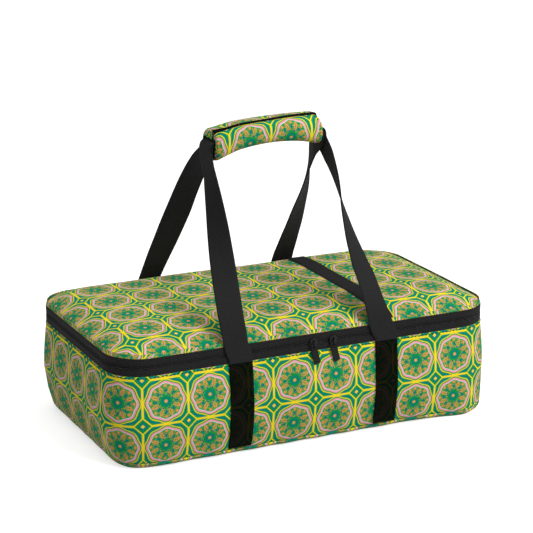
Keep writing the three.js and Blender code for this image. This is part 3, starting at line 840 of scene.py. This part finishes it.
def make_tub():
    """The printed wall with its folded edges, and the printed bottom with its welt."""
    seam = TUB_HEIGHT - GAP
    foot = (wall_inset(BOTTOM_SEAM), BOTTOM_SEAM)
    side = WALL[(WALL[:, 1] > BOTTOM_SEAM + COVER_CLEAR) & (WALL[:, 1] <= seam)]
    profile = np.vstack([foot + TUB_HEM, side[:-1], (0, seam) + TUB_FOLD])
    skin = Skin()
    skin.grid(wall_rows(profile), band_uv(WALL_OUTLINE, run_lengths(profile)), closed=True)
    dress(skin.finish("tub_cover", [PRINT]), "tub", "printed_fabric", "wall_cover")

    profile = np.vstack([WALL[WALL[:, 1] < BOTTOM_SEAM - WELT_HEIGHT], foot + WELT])
    rows = wall_rows(profile)
    skin = Skin()
    skin.grid(rows, band_uv(WALL_OUTLINE, run_lengths(profile) + WELT_SHIFT), closed=True)
    floor = WALL_OUTLINE.rows([(inset, 0) for inset in FLOOR_INSETS])
    floor[0] = rows[0]
    skin.disc(floor, flip=True)
    dress(skin.finish("tub_bottom", [PRINT]), "tub", "printed_fabric", "bottom_cover")


def make_lid():
    """The lid's printed cover. Its print runs on over the edge without a stretch."""
    seam = BAND_TOP + GAP
    middle = [(inset, CROWN[-1, 1]) for inset in TOP_INSETS]
    profile = np.vstack([(0, seam) + LID_FOLD, CROWN[CROWN[:, 1] > seam + LID_CLEAR], middle])
    rows = crown_rows(profile)
    runs = run_lengths(profile)
    flat = runs[np.argmin(np.abs(profile[:, 0] - CROWN_INSET))]
    spread = BODY.rows([(CROWN_INSET + run - flat, 0) for run in runs], CROWN_CORNER_SHARE)
    skin = Skin()
    skin.grid(rows, plan_uv(spread), closed=True)
    skin.fan(rows[-1], rows[-1][:, :2])
    dress(skin.finish("lid_cover", [PRINT]), "lid", "printed_fabric", "lid_outer_shell")


def make_liners():
    inner = offset_profile(WALL, LINER_DEPTH)
    inner = inner[inner[:, 1] > LINER_FLOOR + LINER_BEND]
    corner = (inner[0, 0], LINER_FLOOR) + LINER_CORNER
    profile = np.vstack([corner, inner[:-1], [(LINER_DEPTH, TUB_HEIGHT), (LINER_DEPTH, RIM_TOP)]])
    skin = Skin()
    skin.grid(BODY.rows(profile), band_uv(BODY, run_lengths(profile)), closed=True, flip=True)
    skin.disc(BODY.rows([(inset, LINER_FLOOR) for inset in [corner[0, 0]] + LINER_INSETS]))
    dress(skin.finish("tub_lining", [LINER]), "tub", "liner", "tub_liner")

    start = [(LINER_DEPTH, 2 * SPLIT - RIM_TOP), (LINER_DEPTH, BAND_TOP - LINER_START)]
    inner = offset_profile(CROWN, LINER_DEPTH)
    inner = inner[(inner[:, 0] > LINER_DEPTH + LINER_STEP) & (inner[:, 1] > BAND_TOP - LINER_DROP)]
    middle = [(inset, inner[-1, 1]) for inset in TOP_INSETS]
    skin = Skin()
    skin.disc(BODY.rows(np.vstack([start, inner, middle]), CROWN_CORNER_SHARE), flip=True)
    dress(skin.finish("lid_lining", [LINER]), "lid", "liner", "lid_liner")


# Zip band

def sweep_round(name, outline, section, body, node):
    """A tape's closed section (inset, z) carried round the outline."""
    skin = Skin()
    loop = looped(section)
    rows = outline.rows(loop)
    skin.grid(rows, band_uv(outline, run_lengths(loop)), closed=outline.whole)
    if not outline.whole:
        skin.ends(rows, section)
    dress(skin.finish(name, [ZIP]), body, "zip_tape", node)


def tape_section(low, high):
    """A ribbed tape seen from its end, with rounded edges and two stitched grooves."""
    face = [(GROOVE * depth, low + (high - low) * share) for depth, share in GROOVE_SHARES]
    return np.vstack([(0, low) + TAPE_FOOT, face, (0, high) + TAPE_HEAD, [(FABRIC, low + TAPE_BACK)]])


def make_band():
    """The zip's two tapes, its coil, and the bindings of both rims."""
    outline = Outline(*BODY_STEPS, whole=False)
    section = tape_section(TUB_HEIGHT, SPLIT - TAPE_CLEAR)
    mirrored = section * (1, -1) + (0, 2 * SPLIT)
    sweep_round("zip_tape_low", outline, section, "tub", "zip_tape_lower")
    sweep_round("zip_tape_high", outline, mirrored[::-1], "lid", "zip_tape_upper")
    make_coils()
    for body, low in BINDING_PLACES.items():
        binding = (0, low) + BINDING_SECTION
        sweep_round(f"{body}_binding", BODY, binding[::-1], body, f"{body}_rim_binding")


def make_coils():
    """The coil's two halves: a row of teeth round the band, the upper ones between the lower ones."""
    outline = Outline(*COIL_STEPS, whole=False)
    for name, body, node, low, shift in (("coil_low", "tub", "zip_coil_lower", SPLIT - COIL_DROP, 0),
                                         ("coil_high", "lid", "zip_coil_upper", SPLIT + COIL_GAP, 0.5)):
        tooth = 0.5 + 0.5 * np.cos(2 * math.pi * (outline.run / COIL_PITCH + shift))
        section = (0, low) + COIL_SECTION
        rows = np.array([outline.at(inset - TOOTH * share * tooth, z)
                         for (inset, z), share in zip(section, TOOTH_SHARES)])
        skin = Skin()
        skin.grid(rows, band_uv(outline, run_lengths(section)))
        dress(skin.finish(name, [COIL], weld=False), body, "zip_coil", node)


def make_hinge():
    """One tape along the rear, with a crease at the split."""
    reach = BODY_LENGTH / 2 - CORNER_RADIUS - GAP
    xs = np.linspace(reach, -reach, HINGE_POINTS)
    zs = np.linspace(TUB_HEIGHT, BAND_TOP, HINGE_ROWS)
    y = BODY_DEPTH / 2
    dips = GROOVE * np.exp(-((zs - SPLIT) / CREASE) ** 2)
    outer = [[(x, y - dip, z) for x in xs] for z, dip in zip(zs, dips)]
    inner = [[(x, y - FABRIC, z) for x in xs] for z in zs[::-1]]
    loop = np.array(outer + inner + outer[:1])
    section = np.concatenate([zs, zs[::-1] + HINGE_BACK_SHIFT, zs[:1]])
    uvs = grid_uv(section, xs)[:, :, ::-1]
    skin = Skin()
    skin.grid(loop, uvs)
    skin.fan(loop[:-1, 0], uvs[:-1, 0])
    skin.fan(loop[:-1, -1], uvs[:-1, -1], flip=True)
    piece = skin.finish("hinge_tape", [ZIP])
    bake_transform(piece)
    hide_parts("hinge_tape_lower", "hinge_tape_upper")


# Straps

def ribbon(name, centres, acrosses, width, thickness, material):
    """A strap swept along centres, with rounded edges."""
    centres = np.asarray(centres)
    along = unit(np.gradient(centres, axis=0))
    across = unit(acrosses - along * np.sum(acrosses * along, axis=1, keepdims=True))
    normal = np.cross(along, across)
    half, thick = width / 2, thickness / 2
    edge = thick * STRAP_EDGE_SHARE
    inward, up = STRAP_ROUND_SHARES
    corner = [(half - edge * inward, thick * up), (half - edge, thick)]
    face = [(half * share, thick) for share in STRAP_FACE_SHARES]
    top = corner + face + [(-side, height) for side, height in corner[::-1]]
    bottom = [(-side, -height) for side, height in top]
    section = np.array([(half, 0)] + top + [(-half, 0)] + bottom)
    loop = looped(section)
    rows = np.array([centres + across * side + normal * height for side, height in loop])
    skin = Skin()
    skin.grid(rows, grid_uv(run_lengths(loop), run_lengths(centres)), flip=True)
    skin.ends(rows, section)
    return skin.finish(name, [material])


def grip_height(x):
    """Height of the grip's middle line at a place along X."""
    share = x / (WRAP_LENGTH / 2)
    return WRAP_HEIGHT - WRAP_ARCH * share ** 2 + WRAP_TILT * share


def grip_swell(x):
    """How much thicker the wrap is there than in its middle."""
    return 1 + WRAP_FLARE / WRAP_THICKNESS * (x / (WRAP_LENGTH / 2)) ** 2


def handle_rise(hand):
    return grip_height(hand * WRAP_LENGTH / 2) - TUB_HEIGHT


def handle_route(side, leg_shares):
    """Middle line of a handle: up one leg, through the grip and down the other leg."""
    base = BODY_DEPTH / 2 + LEG_GAP + WEBBING / 2
    draw = STRAP_X - WRAP_LENGTH / 2

    def leg(hand):
        rise = handle_rise(hand)
        return [(hand * (STRAP_X - drawn * draw) - sway * LEG_SWAY, side * base * (1 - inward),
                 TUB_HEIGHT + up * rise) for up, inward, drawn, sway in leg_shares]

    xs = np.linspace(-WRAP_LENGTH / 2, WRAP_LENGTH / 2, RUN_STEPS + 1)
    run = [(x, 0, grip_height(x)) for x in xs]
    return smooth_path(leg(-1) + run + leg(1)[::-1], LEG_STEPS)


def make_handle(place, side, leg_shares, twist_end, power):
    """A handle whose legs twist a quarter turn on their way to the grip."""
    middles = handle_route(side, leg_shares)
    rise = np.array([handle_rise(math.copysign(1, x)) for x in middles[:, 0]])
    share = (middles[:, 2] - TUB_HEIGHT) / rise
    climb = np.clip((share - TWIST_START_SHARE) / (twist_end - TWIST_START_SHARE), 0, 1)
    turn = math.pi / 2 * climb ** power
    outward = np.sign(middles[:, 0]) * np.cos(turn)
    across = np.stack([outward, np.sin(turn), np.zeros(len(turn))], axis=1)
    face = unit(np.cross(unit(np.gradient(middles, axis=0)), across))
    lift = -side * (WEBBING + WRAP_SLACK) / 2
    centres = middles + face * (lift * smooth_share(climb, RUN_START_SHARE, RUN_END_SHARE))[:, None]
    piece = ribbon(f"{place}_handle_strap", centres, across, WEBBING_WIDTH, WEBBING, STRAP)
    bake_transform(piece)
    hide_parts(f"{place}_handle_webbing")


def wall_run(x, side):
    """Distance round the outline of a place on the front or rear wall."""
    points = BODY.at(0, 0)
    on_side = np.where(side * points[:, 1] > BODY_DEPTH / 2 - NEAR)[0]
    return BODY.run[on_side[np.argmin(np.abs(points[on_side, 0] - x))]]


def sewn_strap(place, hand, x, side):
    """Webbing sewn flat on the wall, following its soft surface."""
    seam = TUB_HEIGHT - GAP * 2
    profile = WALL[(WALL[:, 1] >= SEWN_FOOT) & (WALL[:, 1] < seam)]
    profile = np.vstack([(wall_inset(SEWN_FOOT), SEWN_FOOT), profile, (0, seam)])
    profile = offset_profile(profile, -(GAP + SEWN_WEBBING / 2))
    run = wall_run(x, side)
    centres = [(x, side * (BODY_DEPTH / 2 - inset + ripple(run, z)), z) for inset, z in profile]
    piece = ribbon(f"{place}_{hand}_strap_base", centres, ALONG_X, WEBBING_WIDTH, SEWN_WEBBING, SEWN)
    dress(piece, "tub", "black_webbing", f"{place}_{hand}_webbing")


def make_straps():
    make_handle("front", -1, FRONT_LEG_SHARES, FRONT_TWIST_END_SHARE, FRONT_TWIST_POWER)
    make_handle("rear", 1, REAR_LEG_SHARES, REAR_TWIST_END_SHARE, REAR_TWIST_POWER)
    for place, side in (("front", -1), ("rear", 1)):
        for hand, x in (("left", -STRAP_X), ("right", STRAP_X)):
            sewn_strap(place, hand, x, side)


def make_cross_tape():
    """Ribbed tape over the lid, seam to seam."""
    profile = offset_profile(CROWN[CROWN[:, 1] > BAND_TOP + CROSS_TAPE_START], -(GAP + CROSS_TAPE / 2))
    front = [(STRAP_X, inset - BODY_DEPTH / 2, z) for inset, z in profile]
    ys = np.linspace(-CROSS_TAPE_FLAT, CROSS_TAPE_FLAT, CROSS_TAPE_POINTS)
    middle = [(STRAP_X, y, profile[-1, 1]) for y in ys]
    rear = [(STRAP_X, BODY_DEPTH / 2 - inset, z) for inset, z in profile[::-1]]
    centres = np.array(front + middle + rear)
    centres[:, 2] += lid_puff(centres)
    piece = ribbon("lid_cross_strip", centres, ALONG_X, CROSS_TAPE_WIDTH, CROSS_TAPE, ZIP)
    dress(piece, "lid", "zip_tape", "lid_cross_tape")


# Stitches

def stitch_line(name, points, normals, sizes, body, slot, closed=True):
    """A row of short raised thread stitches along points, lying on a surface."""
    length, pitch, radius = sizes
    points, normals = np.asarray(points), np.asarray(normals)
    if closed:
        points, normals = looped(points), looped(normals)
    run = run_lengths(points)
    places = np.arange(pitch, run[-1] - pitch, pitch)

    def sample(values, at):
        return np.stack([np.interp(at, run, values[:, k]) for k in range(3)], axis=1)

    starts, middles, ends = (sample(points, places + length * share) for share in (-0.5, 0, 0.5))
    ups = unit(sample(normals, places))
    alongs = unit(ends - starts)
    sides = np.cross(alongs, ups)
    around = len(STITCH_RING_SHARES)
    vertices, faces = [], []
    for start, middle, end, up, along, side in zip(starts, middles, ends, ups, alongs, sides):
        tip = len(vertices)
        vertices.append(start)
        for share in (-STITCH_BODY_SHARE, STITCH_BODY_SHARE):
            centre = middle + along * length * share + up * radius * STITCH_RISE_SHARE
            vertices += [centre + side * radius * across + up * radius * high
                         for across, high in STITCH_RING_SHARES]
        vertices.append(end)
        last = len(vertices) - 1
        for j in range(around):
            first, second = tip + 1 + j, tip + 1 + (j + 1) % around
            faces.append((tip, second, first))
            faces.append((first, second, second + around, first + around))
            faces.append((first + around, second + around, last))
    piece = add_mesh(name, vertices, faces, side_uv(vertices, faces), [THREAD])
    dress(piece, body, slot)


def make_stitches():
    """Topstitching beside the band, on the tub and on the lid."""
    count = len(BODY.centre_x)
    outward = np.stack([BODY.out_x, BODY.out_y, np.zeros(count)], axis=1)
    z = TUB_HEIGHT - TUB_STITCH_DROP
    tub_row = BODY.at(wall_inset(z) - ripple(BODY.run[:count], z), z)
    stitch_line("tub_topstitch", tub_row, outward, TUB_STITCH, "tub", "printed_fabric")
    place = np.argmin(np.abs(CROWN[:, 1] - BAND_TOP - LID_STITCH_RISE))
    lid_row = crown_rows(CROWN[place:place + 1])[0]
    stitch_line("lid_topstitch", lid_row, outward + (0, 0, 1), LID_STITCH, "lid", "printed_fabric")


# Grip wrap

def arc(y, z, radius, start, end):
    angles = np.linspace(start, end, ARC_POINTS)
    return [(y + radius * math.cos(angle), z + radius * math.sin(angle)) for angle in angles]


def line(start, end, steps):
    """Points between two others, without their ends."""
    return [tuple(np.array(start) + (np.array(end) - np.array(start)) * s / steps) for s in range(1, steps)]


def slit_shift(x):
    """The slit runs straight at the left and veers rearwards to the right end."""
    share = np.clip((x - SLIT_START) / (WRAP_LENGTH / 2 - SLIT_START), 0, 1)
    return SLIT_VEER * share ** SLIT_POWER


def left_droop(x):
    return LEFT_DROOP * smooth_share(-x, DROOP_START, WRAP_LENGTH / 2)


def shape_top(shape, x, lift):
    """Moves a section's upper lip with the slit, and lifts or sinks it beside the slit."""
    high = smooth_share(shape[:, 1], 0, WRAP_THICKNESS / 2)
    near = np.clip(1 - np.abs(shape[:, 0] - SLIT) / (WRAP_DEPTH / 2), 0, 1) * high
    beside = np.clip(1 - np.abs(shape[:, 0] - SLIT) / LIP_REACH, 0, 1) * high
    moved = shape.copy()
    moved[:, 0] += slit_shift(x) * near
    moved[:, 1] += lift * beside
    return moved


def grip_ring(section, x):
    """A section of the wrap set at its place along the arched grip."""
    return [(x, y, grip_height(x) + z * grip_swell(x)) for y, z in section]


def grip_body(name, outer, hollow, reach, lift, body, nodes):
    """A soft padded shell: an outer outline in print, and a black hollow for the webbing."""
    loop = np.array(outer + hollow)
    count = len(outer)
    stations = [(-reach + x, draw) for x, draw in WRAP_ENDS]
    stations += [(x, 0) for x in np.linspace(-reach + WRAP_END, reach - WRAP_END, WRAP_POINTS)]
    stations += [(reach - x, draw) for x, draw in reversed(WRAP_ENDS)]
    rings = []
    for x, draw in stations:
        shape = offset_loop(loop, draw)
        shape[count:] = offset_loop(loop, draw * HOLLOW_DRAW_SHARE)[count:]
        shape[:count] *= 1 + MIDDLE_SWELL_SHARE * math.cos(math.pi * x / reach / 2)
        shape[:count, 1] += WRINKLE * math.sin(x / WRINKLE_LENGTH) * (abs(x) / reach) ** 2
        shape = shape_top(shape, x, lift)
        shape[:count, 1] -= left_droop(x)
        rings.append(grip_ring(shape, x))
    rings = np.array(rings)
    closed_rings = np.concatenate([rings, rings[:, :1]], axis=1)
    uvs = grid_uv(np.array([x for x, _ in stations]), run_lengths(looped(loop)))
    skin = Skin()
    skin.grid(closed_rings[:, :count], uvs[:, :count])
    skin.grid(closed_rings[:, count - 1:], uvs[:, count - 1:], slot=1)
    skin.fan(rings[0], loop, flip=True)
    skin.fan(rings[-1], loop)
    piece = skin.finish(name, [PRINT, LINING])
    dress(piece, body, "printed_fabric", *nodes)
    for hand, place in (("left", len(WRAP_ENDS) - 1), ("right", -len(WRAP_ENDS))):
        ring = rings[place, :count]
        middle = (ring[0, 0], ring[:, 1].mean(), ring[:, 2].mean())
        stitch_line(f"{name}_hem_{hand}", ring, unit(ring - middle), HEM_STITCH, body, "printed_fabric",
                    closed=False)


def hollow_section(face, deep):
    """The webbing's hollow in one half of the wrap, from its upper lip to its lower one."""
    lip = WRAP_THICKNESS / 2 - WRAP_LIP
    return [(face, lip), (face, HOLLOW_HALF), (deep, HOLLOW_HALF), (deep, -HOLLOW_HALF),
            (face, -HOLLOW_HALF), (face, -lip)]


def make_wrap():
    """The wrap's rear half, and its front half, which is the flap."""
    quarter = math.pi / 2
    half = WRAP_THICKNESS / 2
    side = WRAP_DEPTH / 2 - WRAP_CORNER
    deep = WEBBING_WIDTH / 2 + HOLLOW_SLACK
    back = SLIT + WRAP_LIP
    outer = [(back, -half)] + line((back, -half), (side, -half), 5)
    outer += arc(side, -half + WRAP_CORNER, WRAP_CORNER, -quarter, 0)
    outer += arc(side, half - WRAP_CORNER, WRAP_CORNER, 0, quarter)
    outer += line((side, half), (back, half), 8) + [(back, half)]
    grip_body("wrap_rear_half", outer, hollow_section(SLIT, deep), WRAP_LENGTH / 2, PANEL_LIFT,
              "rear_handle", ("wrap_panel", "wrap_padding"))

    seam = SLIT - SLIT_GAP
    corner = WRAP_DEPTH / 2 + seam
    start = math.asin(WRAP_LIP / corner)
    outer = arc(seam, half - corner, corner, quarter + start, 2 * quarter)
    outer += arc(seam, corner - half, corner, 2 * quarter, 3 * quarter - start)
    grip_body("wrap_front_flap", outer, hollow_section(seam, -deep)[::-1], WRAP_LENGTH / 2 - FLAP_TRIM,
              -FLAP_SINK, "wrap_flap", ("wrap_flap", "flap_padding"))


def make_fasteners():
    """Hook and loop tape on the two faces of the slit. Its black, a little below the surface, is also
    painted shade for the gap in the slit.
    """
    low = HOLLOW_HALF + GAP
    edge = FASTENER / 2
    xs = np.linspace(-FASTENER_REACH, FASTENER_REACH, FASTENER_POINTS)
    for name, body, node, face, out, lift in (
            ("loop_tape", "rear_handle", "loop_strip", SLIT, -1, PANEL_LIFT),
            ("hook_tape", "wrap_flap", "hook_strip", SLIT - SLIT_GAP, 1, -FLAP_SINK)):
        near = face + out * FASTENER_PROUD
        far = face - out * FASTENER
        rings = []
        for x in xs:
            top = WRAP_THICKNESS / 2 - FASTENER_DROP - left_droop(x)
            section = np.array([(near, low + edge), (face, low), (far, low), (far, top), (face, top),
                                (near, top - edge)])
            rings.append(grip_ring(shape_top(section, x, lift), x))
        skin = Skin()
        uvs = grid_uv(xs, run_lengths(looped(section)))
        skin.grid(np.array(rings), uvs, closed=True, flip=out > 0)
        skin.fan(rings[0], section, flip=out < 0)
        skin.fan(rings[-1], section, flip=out > 0)
        dress(skin.finish(name, [HOOK_AND_SLIT_SHADE]), body, "hook_and_loop", node)


def make_wrap_fold():
    """The wrap's cloth under the slit, in two layers: print and black lining."""
    reach = WRAP_LENGTH / 2 - FLAP_TRIM * 3
    xs = np.linspace(-reach, reach, FOLD_POINTS)
    ys = SLIT + np.linspace(FOLD_REACH, -FOLD_REACH, FOLD_ROWS)
    uvs = grid_uv(xs, ys)
    skin = Skin()
    for layer in (0, 1):
        height = FOLD_COVER * (1 + layer) - WRAP_THICKNESS / 2
        rings = np.array([grip_ring([(y, height) for y in ys], x) for x in xs])
        skin.grid(rings, uvs, slot=layer, flip=layer == 1)
    piece = skin.finish("wrap_fold", [PRINT, LINING])
    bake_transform(piece)


# Sliders, pulls and end tabs

def rounded_block(size, place, radius):
    work = bmesh.new()
    bmesh.ops.create_cube(work, size=1.0)
    for vertex in work.verts:
        vertex.co *= Vector(size)
    bmesh.ops.bevel(work, geom=work.edges[:], offset=radius, segments=2, profile=0.5, affect="EDGES")
    vertices = [tuple(vertex.co + Vector(place)) for vertex in work.verts]
    faces = [[vertex.index for vertex in face.verts] for face in work.faces]
    work.free()
    return vertices, faces


def join_parts(name, parts, material):
    vertices, faces = [], []
    for part_vertices, part_faces in parts:
        start = len(vertices)
        vertices.extend(part_vertices)
        faces.extend([[start + i for i in face] for face in part_faces])
    return add_mesh(name, vertices, faces, side_uv(vertices, faces), [material])


def wire_loop(centre, width, height):
    """A rounded rectangle of round wire in the XZ plane."""
    path = []
    x, z = width / 2 - WIRE_CORNER, height / 2 - WIRE_CORNER
    for k, (sx, sz) in enumerate(((1, 1), (-1, 1), (-1, -1), (1, -1))):
        for step in range(WIRE_POINTS):
            angle = math.pi / 2 * (k + step / (WIRE_POINTS - 1))
            path.append((sx * x + WIRE_CORNER * math.cos(angle), sz * z + WIRE_CORNER * math.sin(angle)))
    path = np.array(path)
    normals = unit(offset_loop(path, -1.0) - path)
    vertices, faces = [], []
    for (px, pz), (nx, nz) in zip(path, normals):
        for j in range(WIRE_SIDES):
            angle = 2 * math.pi * j / WIRE_SIDES
            out = WIRE_RADIUS * math.cos(angle)
            vertices.append((centre[0] + px + nx * out, centre[1] + WIRE_RADIUS * math.sin(angle),
                             centre[2] + pz + nz * out))
    total = len(path)
    for i in range(total):
        here, there = i * WIRE_SIDES, (i + 1) % total * WIRE_SIDES
        for j in range(WIRE_SIDES):
            after = (j + 1) % WIRE_SIDES
            faces.append((here + j, here + after, there + after, there + j))
    return vertices, faces


def make_sliders():
    """Each slider's plates and bridge, its wire link and its pull."""
    plate_y = -BODY_DEPTH / 2 - GAP
    face = plate_y - SLIDER_THICKNESS
    for hand, x in SLIDER_PLACES.items():
        place = (x, plate_y - SLIDER_THICKNESS / 2, SPLIT)
        parts = [rounded_block(size, place, SLIDER_EDGE) for size in (WIDE_PLATE, TALL_PLATE)]
        parts.append(rounded_block(BRIDGE_SIZE, (x, face - BRIDGE_OUT, SPLIT), BRIDGE_EDGE))
        parts += [rounded_block(POST_SIZE, (x, face - POST_OUT, SPLIT + rise), POST_EDGE)
                  for rise in (POST_RISE, -POST_RISE)]
        piece = join_parts(f"slider_{hand}", parts, METAL)
        dress(piece, f"slider_{hand}", "zip_metal", f"zip_slider_{hand}")
        low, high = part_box(f"pull_link_{hand}")
        size = high - low
        wire = wire_loop((low + high) / 2, size.x - WIRE_RADIUS * 2, size.z - WIRE_RADIUS * 2)
        dress(join_parts(f"link_{hand}", [wire], METAL), f"pull_{hand}", "zip_metal", f"pull_link_{hand}")
        make_pull(hand, x)


def make_pull(hand, x):
    """A folded webbing tab that holds the link in its top fold."""
    low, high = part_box(f"pull_tab_{hand}")
    y = (low.y + high.y) / 2
    centres = [(x + TAB_LEAN * (1 - share) ** TAB_POWER, y, low.z + (high.z - low.z) * share)
               for share in np.linspace(1, 0, TAB_POINTS)]
    piece = ribbon(f"tab_{hand}", centres, ALONG_X, TAB_WIDTH, TAB_THICKNESS, STRAP)
    dress(piece, f"pull_{hand}", "black_webbing", f"pull_tab_{hand}")


def make_end_tabs():
    """Fabric tabs folded over the zip's two ends, each sewn down round its edge."""
    for hand in ("left", "right"):
        low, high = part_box(f"zip_end_tab_{hand}")
        block = rounded_block(high - low, (low + high) / 2, FABRIC / 3)
        dress(join_parts(f"end_tab_{hand}", [block], STRAP), "tub", "zip_tape", f"zip_end_tab_{hand}")
        left, right = low.x + FABRIC, high.x - FABRIC
        base, top = low.z + FABRIC, high.z - FABRIC
        corners = [(x, high.y, z) for x, z in ((left, base), (right, base), (right, top), (left, top))]
        stitch_line(f"end_tab_{hand}_stitch", corners, [(0, 1, 0)] * 4, TAB_STITCH, "tub", "zip_tape")


def finish_nodes():
    """Finishes of the solids that stay as they are."""
    for name in ("wall_foam", "floor_foam", "lid_foam", "base_board"):
        node = NODES[name]
        node.data.materials.clear()
        node.data.materials.append(BOARD if name == "base_board" else FOAM)


# Stage

def mix_shaders(tree, factor, first, second, output):
    """Shows the second shader where the factor is 1."""
    mixed = tree.nodes.new("ShaderNodeMixShader")
    for socket, source in zip(mixed.inputs, (factor, first.outputs[0], second.outputs[0])):
        tree.links.new(source, socket)
    tree.links.new(mixed.outputs[0], tree.nodes[output].inputs["Surface"])


def make_stage():
    """A white floor that glows for the camera and throws less light back on the carrier."""
    bpy.ops.mesh.primitive_plane_add(size=FLOOR_SIZE, location=(0, 0, 0))
    floor = bpy.context.object
    floor.name = "floor"
    paint = Paint("floor_white")
    tree = paint.tree
    paint.look(Base_Color=grey(0.8), Roughness=0.9, Specular_IOR_Level=0.0)
    glow = paint.node("ShaderNodeEmission", Strength=FLOOR_GLOW)
    both = tree.nodes.new("ShaderNodeAddShader")
    tree.links.new(paint.shader.outputs[0], both.inputs[0])
    tree.links.new(glow.outputs[0], both.inputs[1])
    dim = paint.node("ShaderNodeBsdfDiffuse", Color=grey(0.5))
    rays = tree.nodes.new("ShaderNodeLightPath")
    seen = paint.sum("MAXIMUM", rays.outputs["Is Camera Ray"], rays.outputs["Is Glossy Ray"])
    mix_shaders(tree, seen, dim, both, "Material Output")
    floor.data.materials.append(paint.material)


def make_world():
    """Soft light from all round, which the camera sees as pure white."""
    world = bpy.data.worlds.new("studio")
    bpy.context.scene.world = world
    world.use_nodes = True
    tree = world.node_tree
    light = tree.nodes["Background"]
    white = tree.nodes.new("ShaderNodeBackground")
    for background, strength in ((light, WORLD_GLOW), (white, 1.0)):
        background.inputs["Color"].default_value = grey(1)
        background.inputs["Strength"].default_value = strength
    rays = tree.nodes.new("ShaderNodeLightPath")
    mix_shaders(tree, rays.outputs["Is Camera Ray"], light, white, "World Output")


def add_lamp(name, place, target, size, power):
    light = bpy.data.lights.new(name, "AREA")
    light.shape = "SQUARE"
    light.size = size
    light.energy = power
    lamp = bpy.data.objects.new(name, light)
    lamp.location = place
    lamp.rotation_euler = (Vector(target) - Vector(place)).to_track_quat("-Z", "Y").to_euler()
    bpy.context.scene.collection.objects.link(lamp)


def make_camera():
    data = bpy.data.cameras.new("camera")
    data.sensor_width = SENSOR
    data.lens = FOCAL_PX / PHOTO_SIZE_PX * SENSOR
    data.clip_end = CAMERA_CLIP
    camera = bpy.data.objects.new("camera", data)
    back = Vector((math.sin(CAMERA_AZIMUTH) * math.cos(CAMERA_ELEVATION),
                   -math.cos(CAMERA_AZIMUTH) * math.cos(CAMERA_ELEVATION), math.sin(CAMERA_ELEVATION)))
    camera.location = CAMERA_TARGET + back * CAMERA_DISTANCE
    camera.rotation_euler = (-back).to_track_quat("-Z", "Y").to_euler()
    bpy.context.scene.collection.objects.link(camera)
    bpy.context.scene.camera = camera


make_camera()
make_stage()
make_world()
add_lamp("key", *KEY_LAMP)
add_lamp("top", *TOP_LAMP)
make_tub()
make_lid()
make_liners()
make_band()
make_hinge()
make_straps()
make_cross_tape()
make_stitches()
make_wrap()
make_fasteners()
make_wrap_fold()
make_sliders()
make_end_tabs()
finish_nodes()
bpy.context.scene.view_settings.view_transform = "Standard"
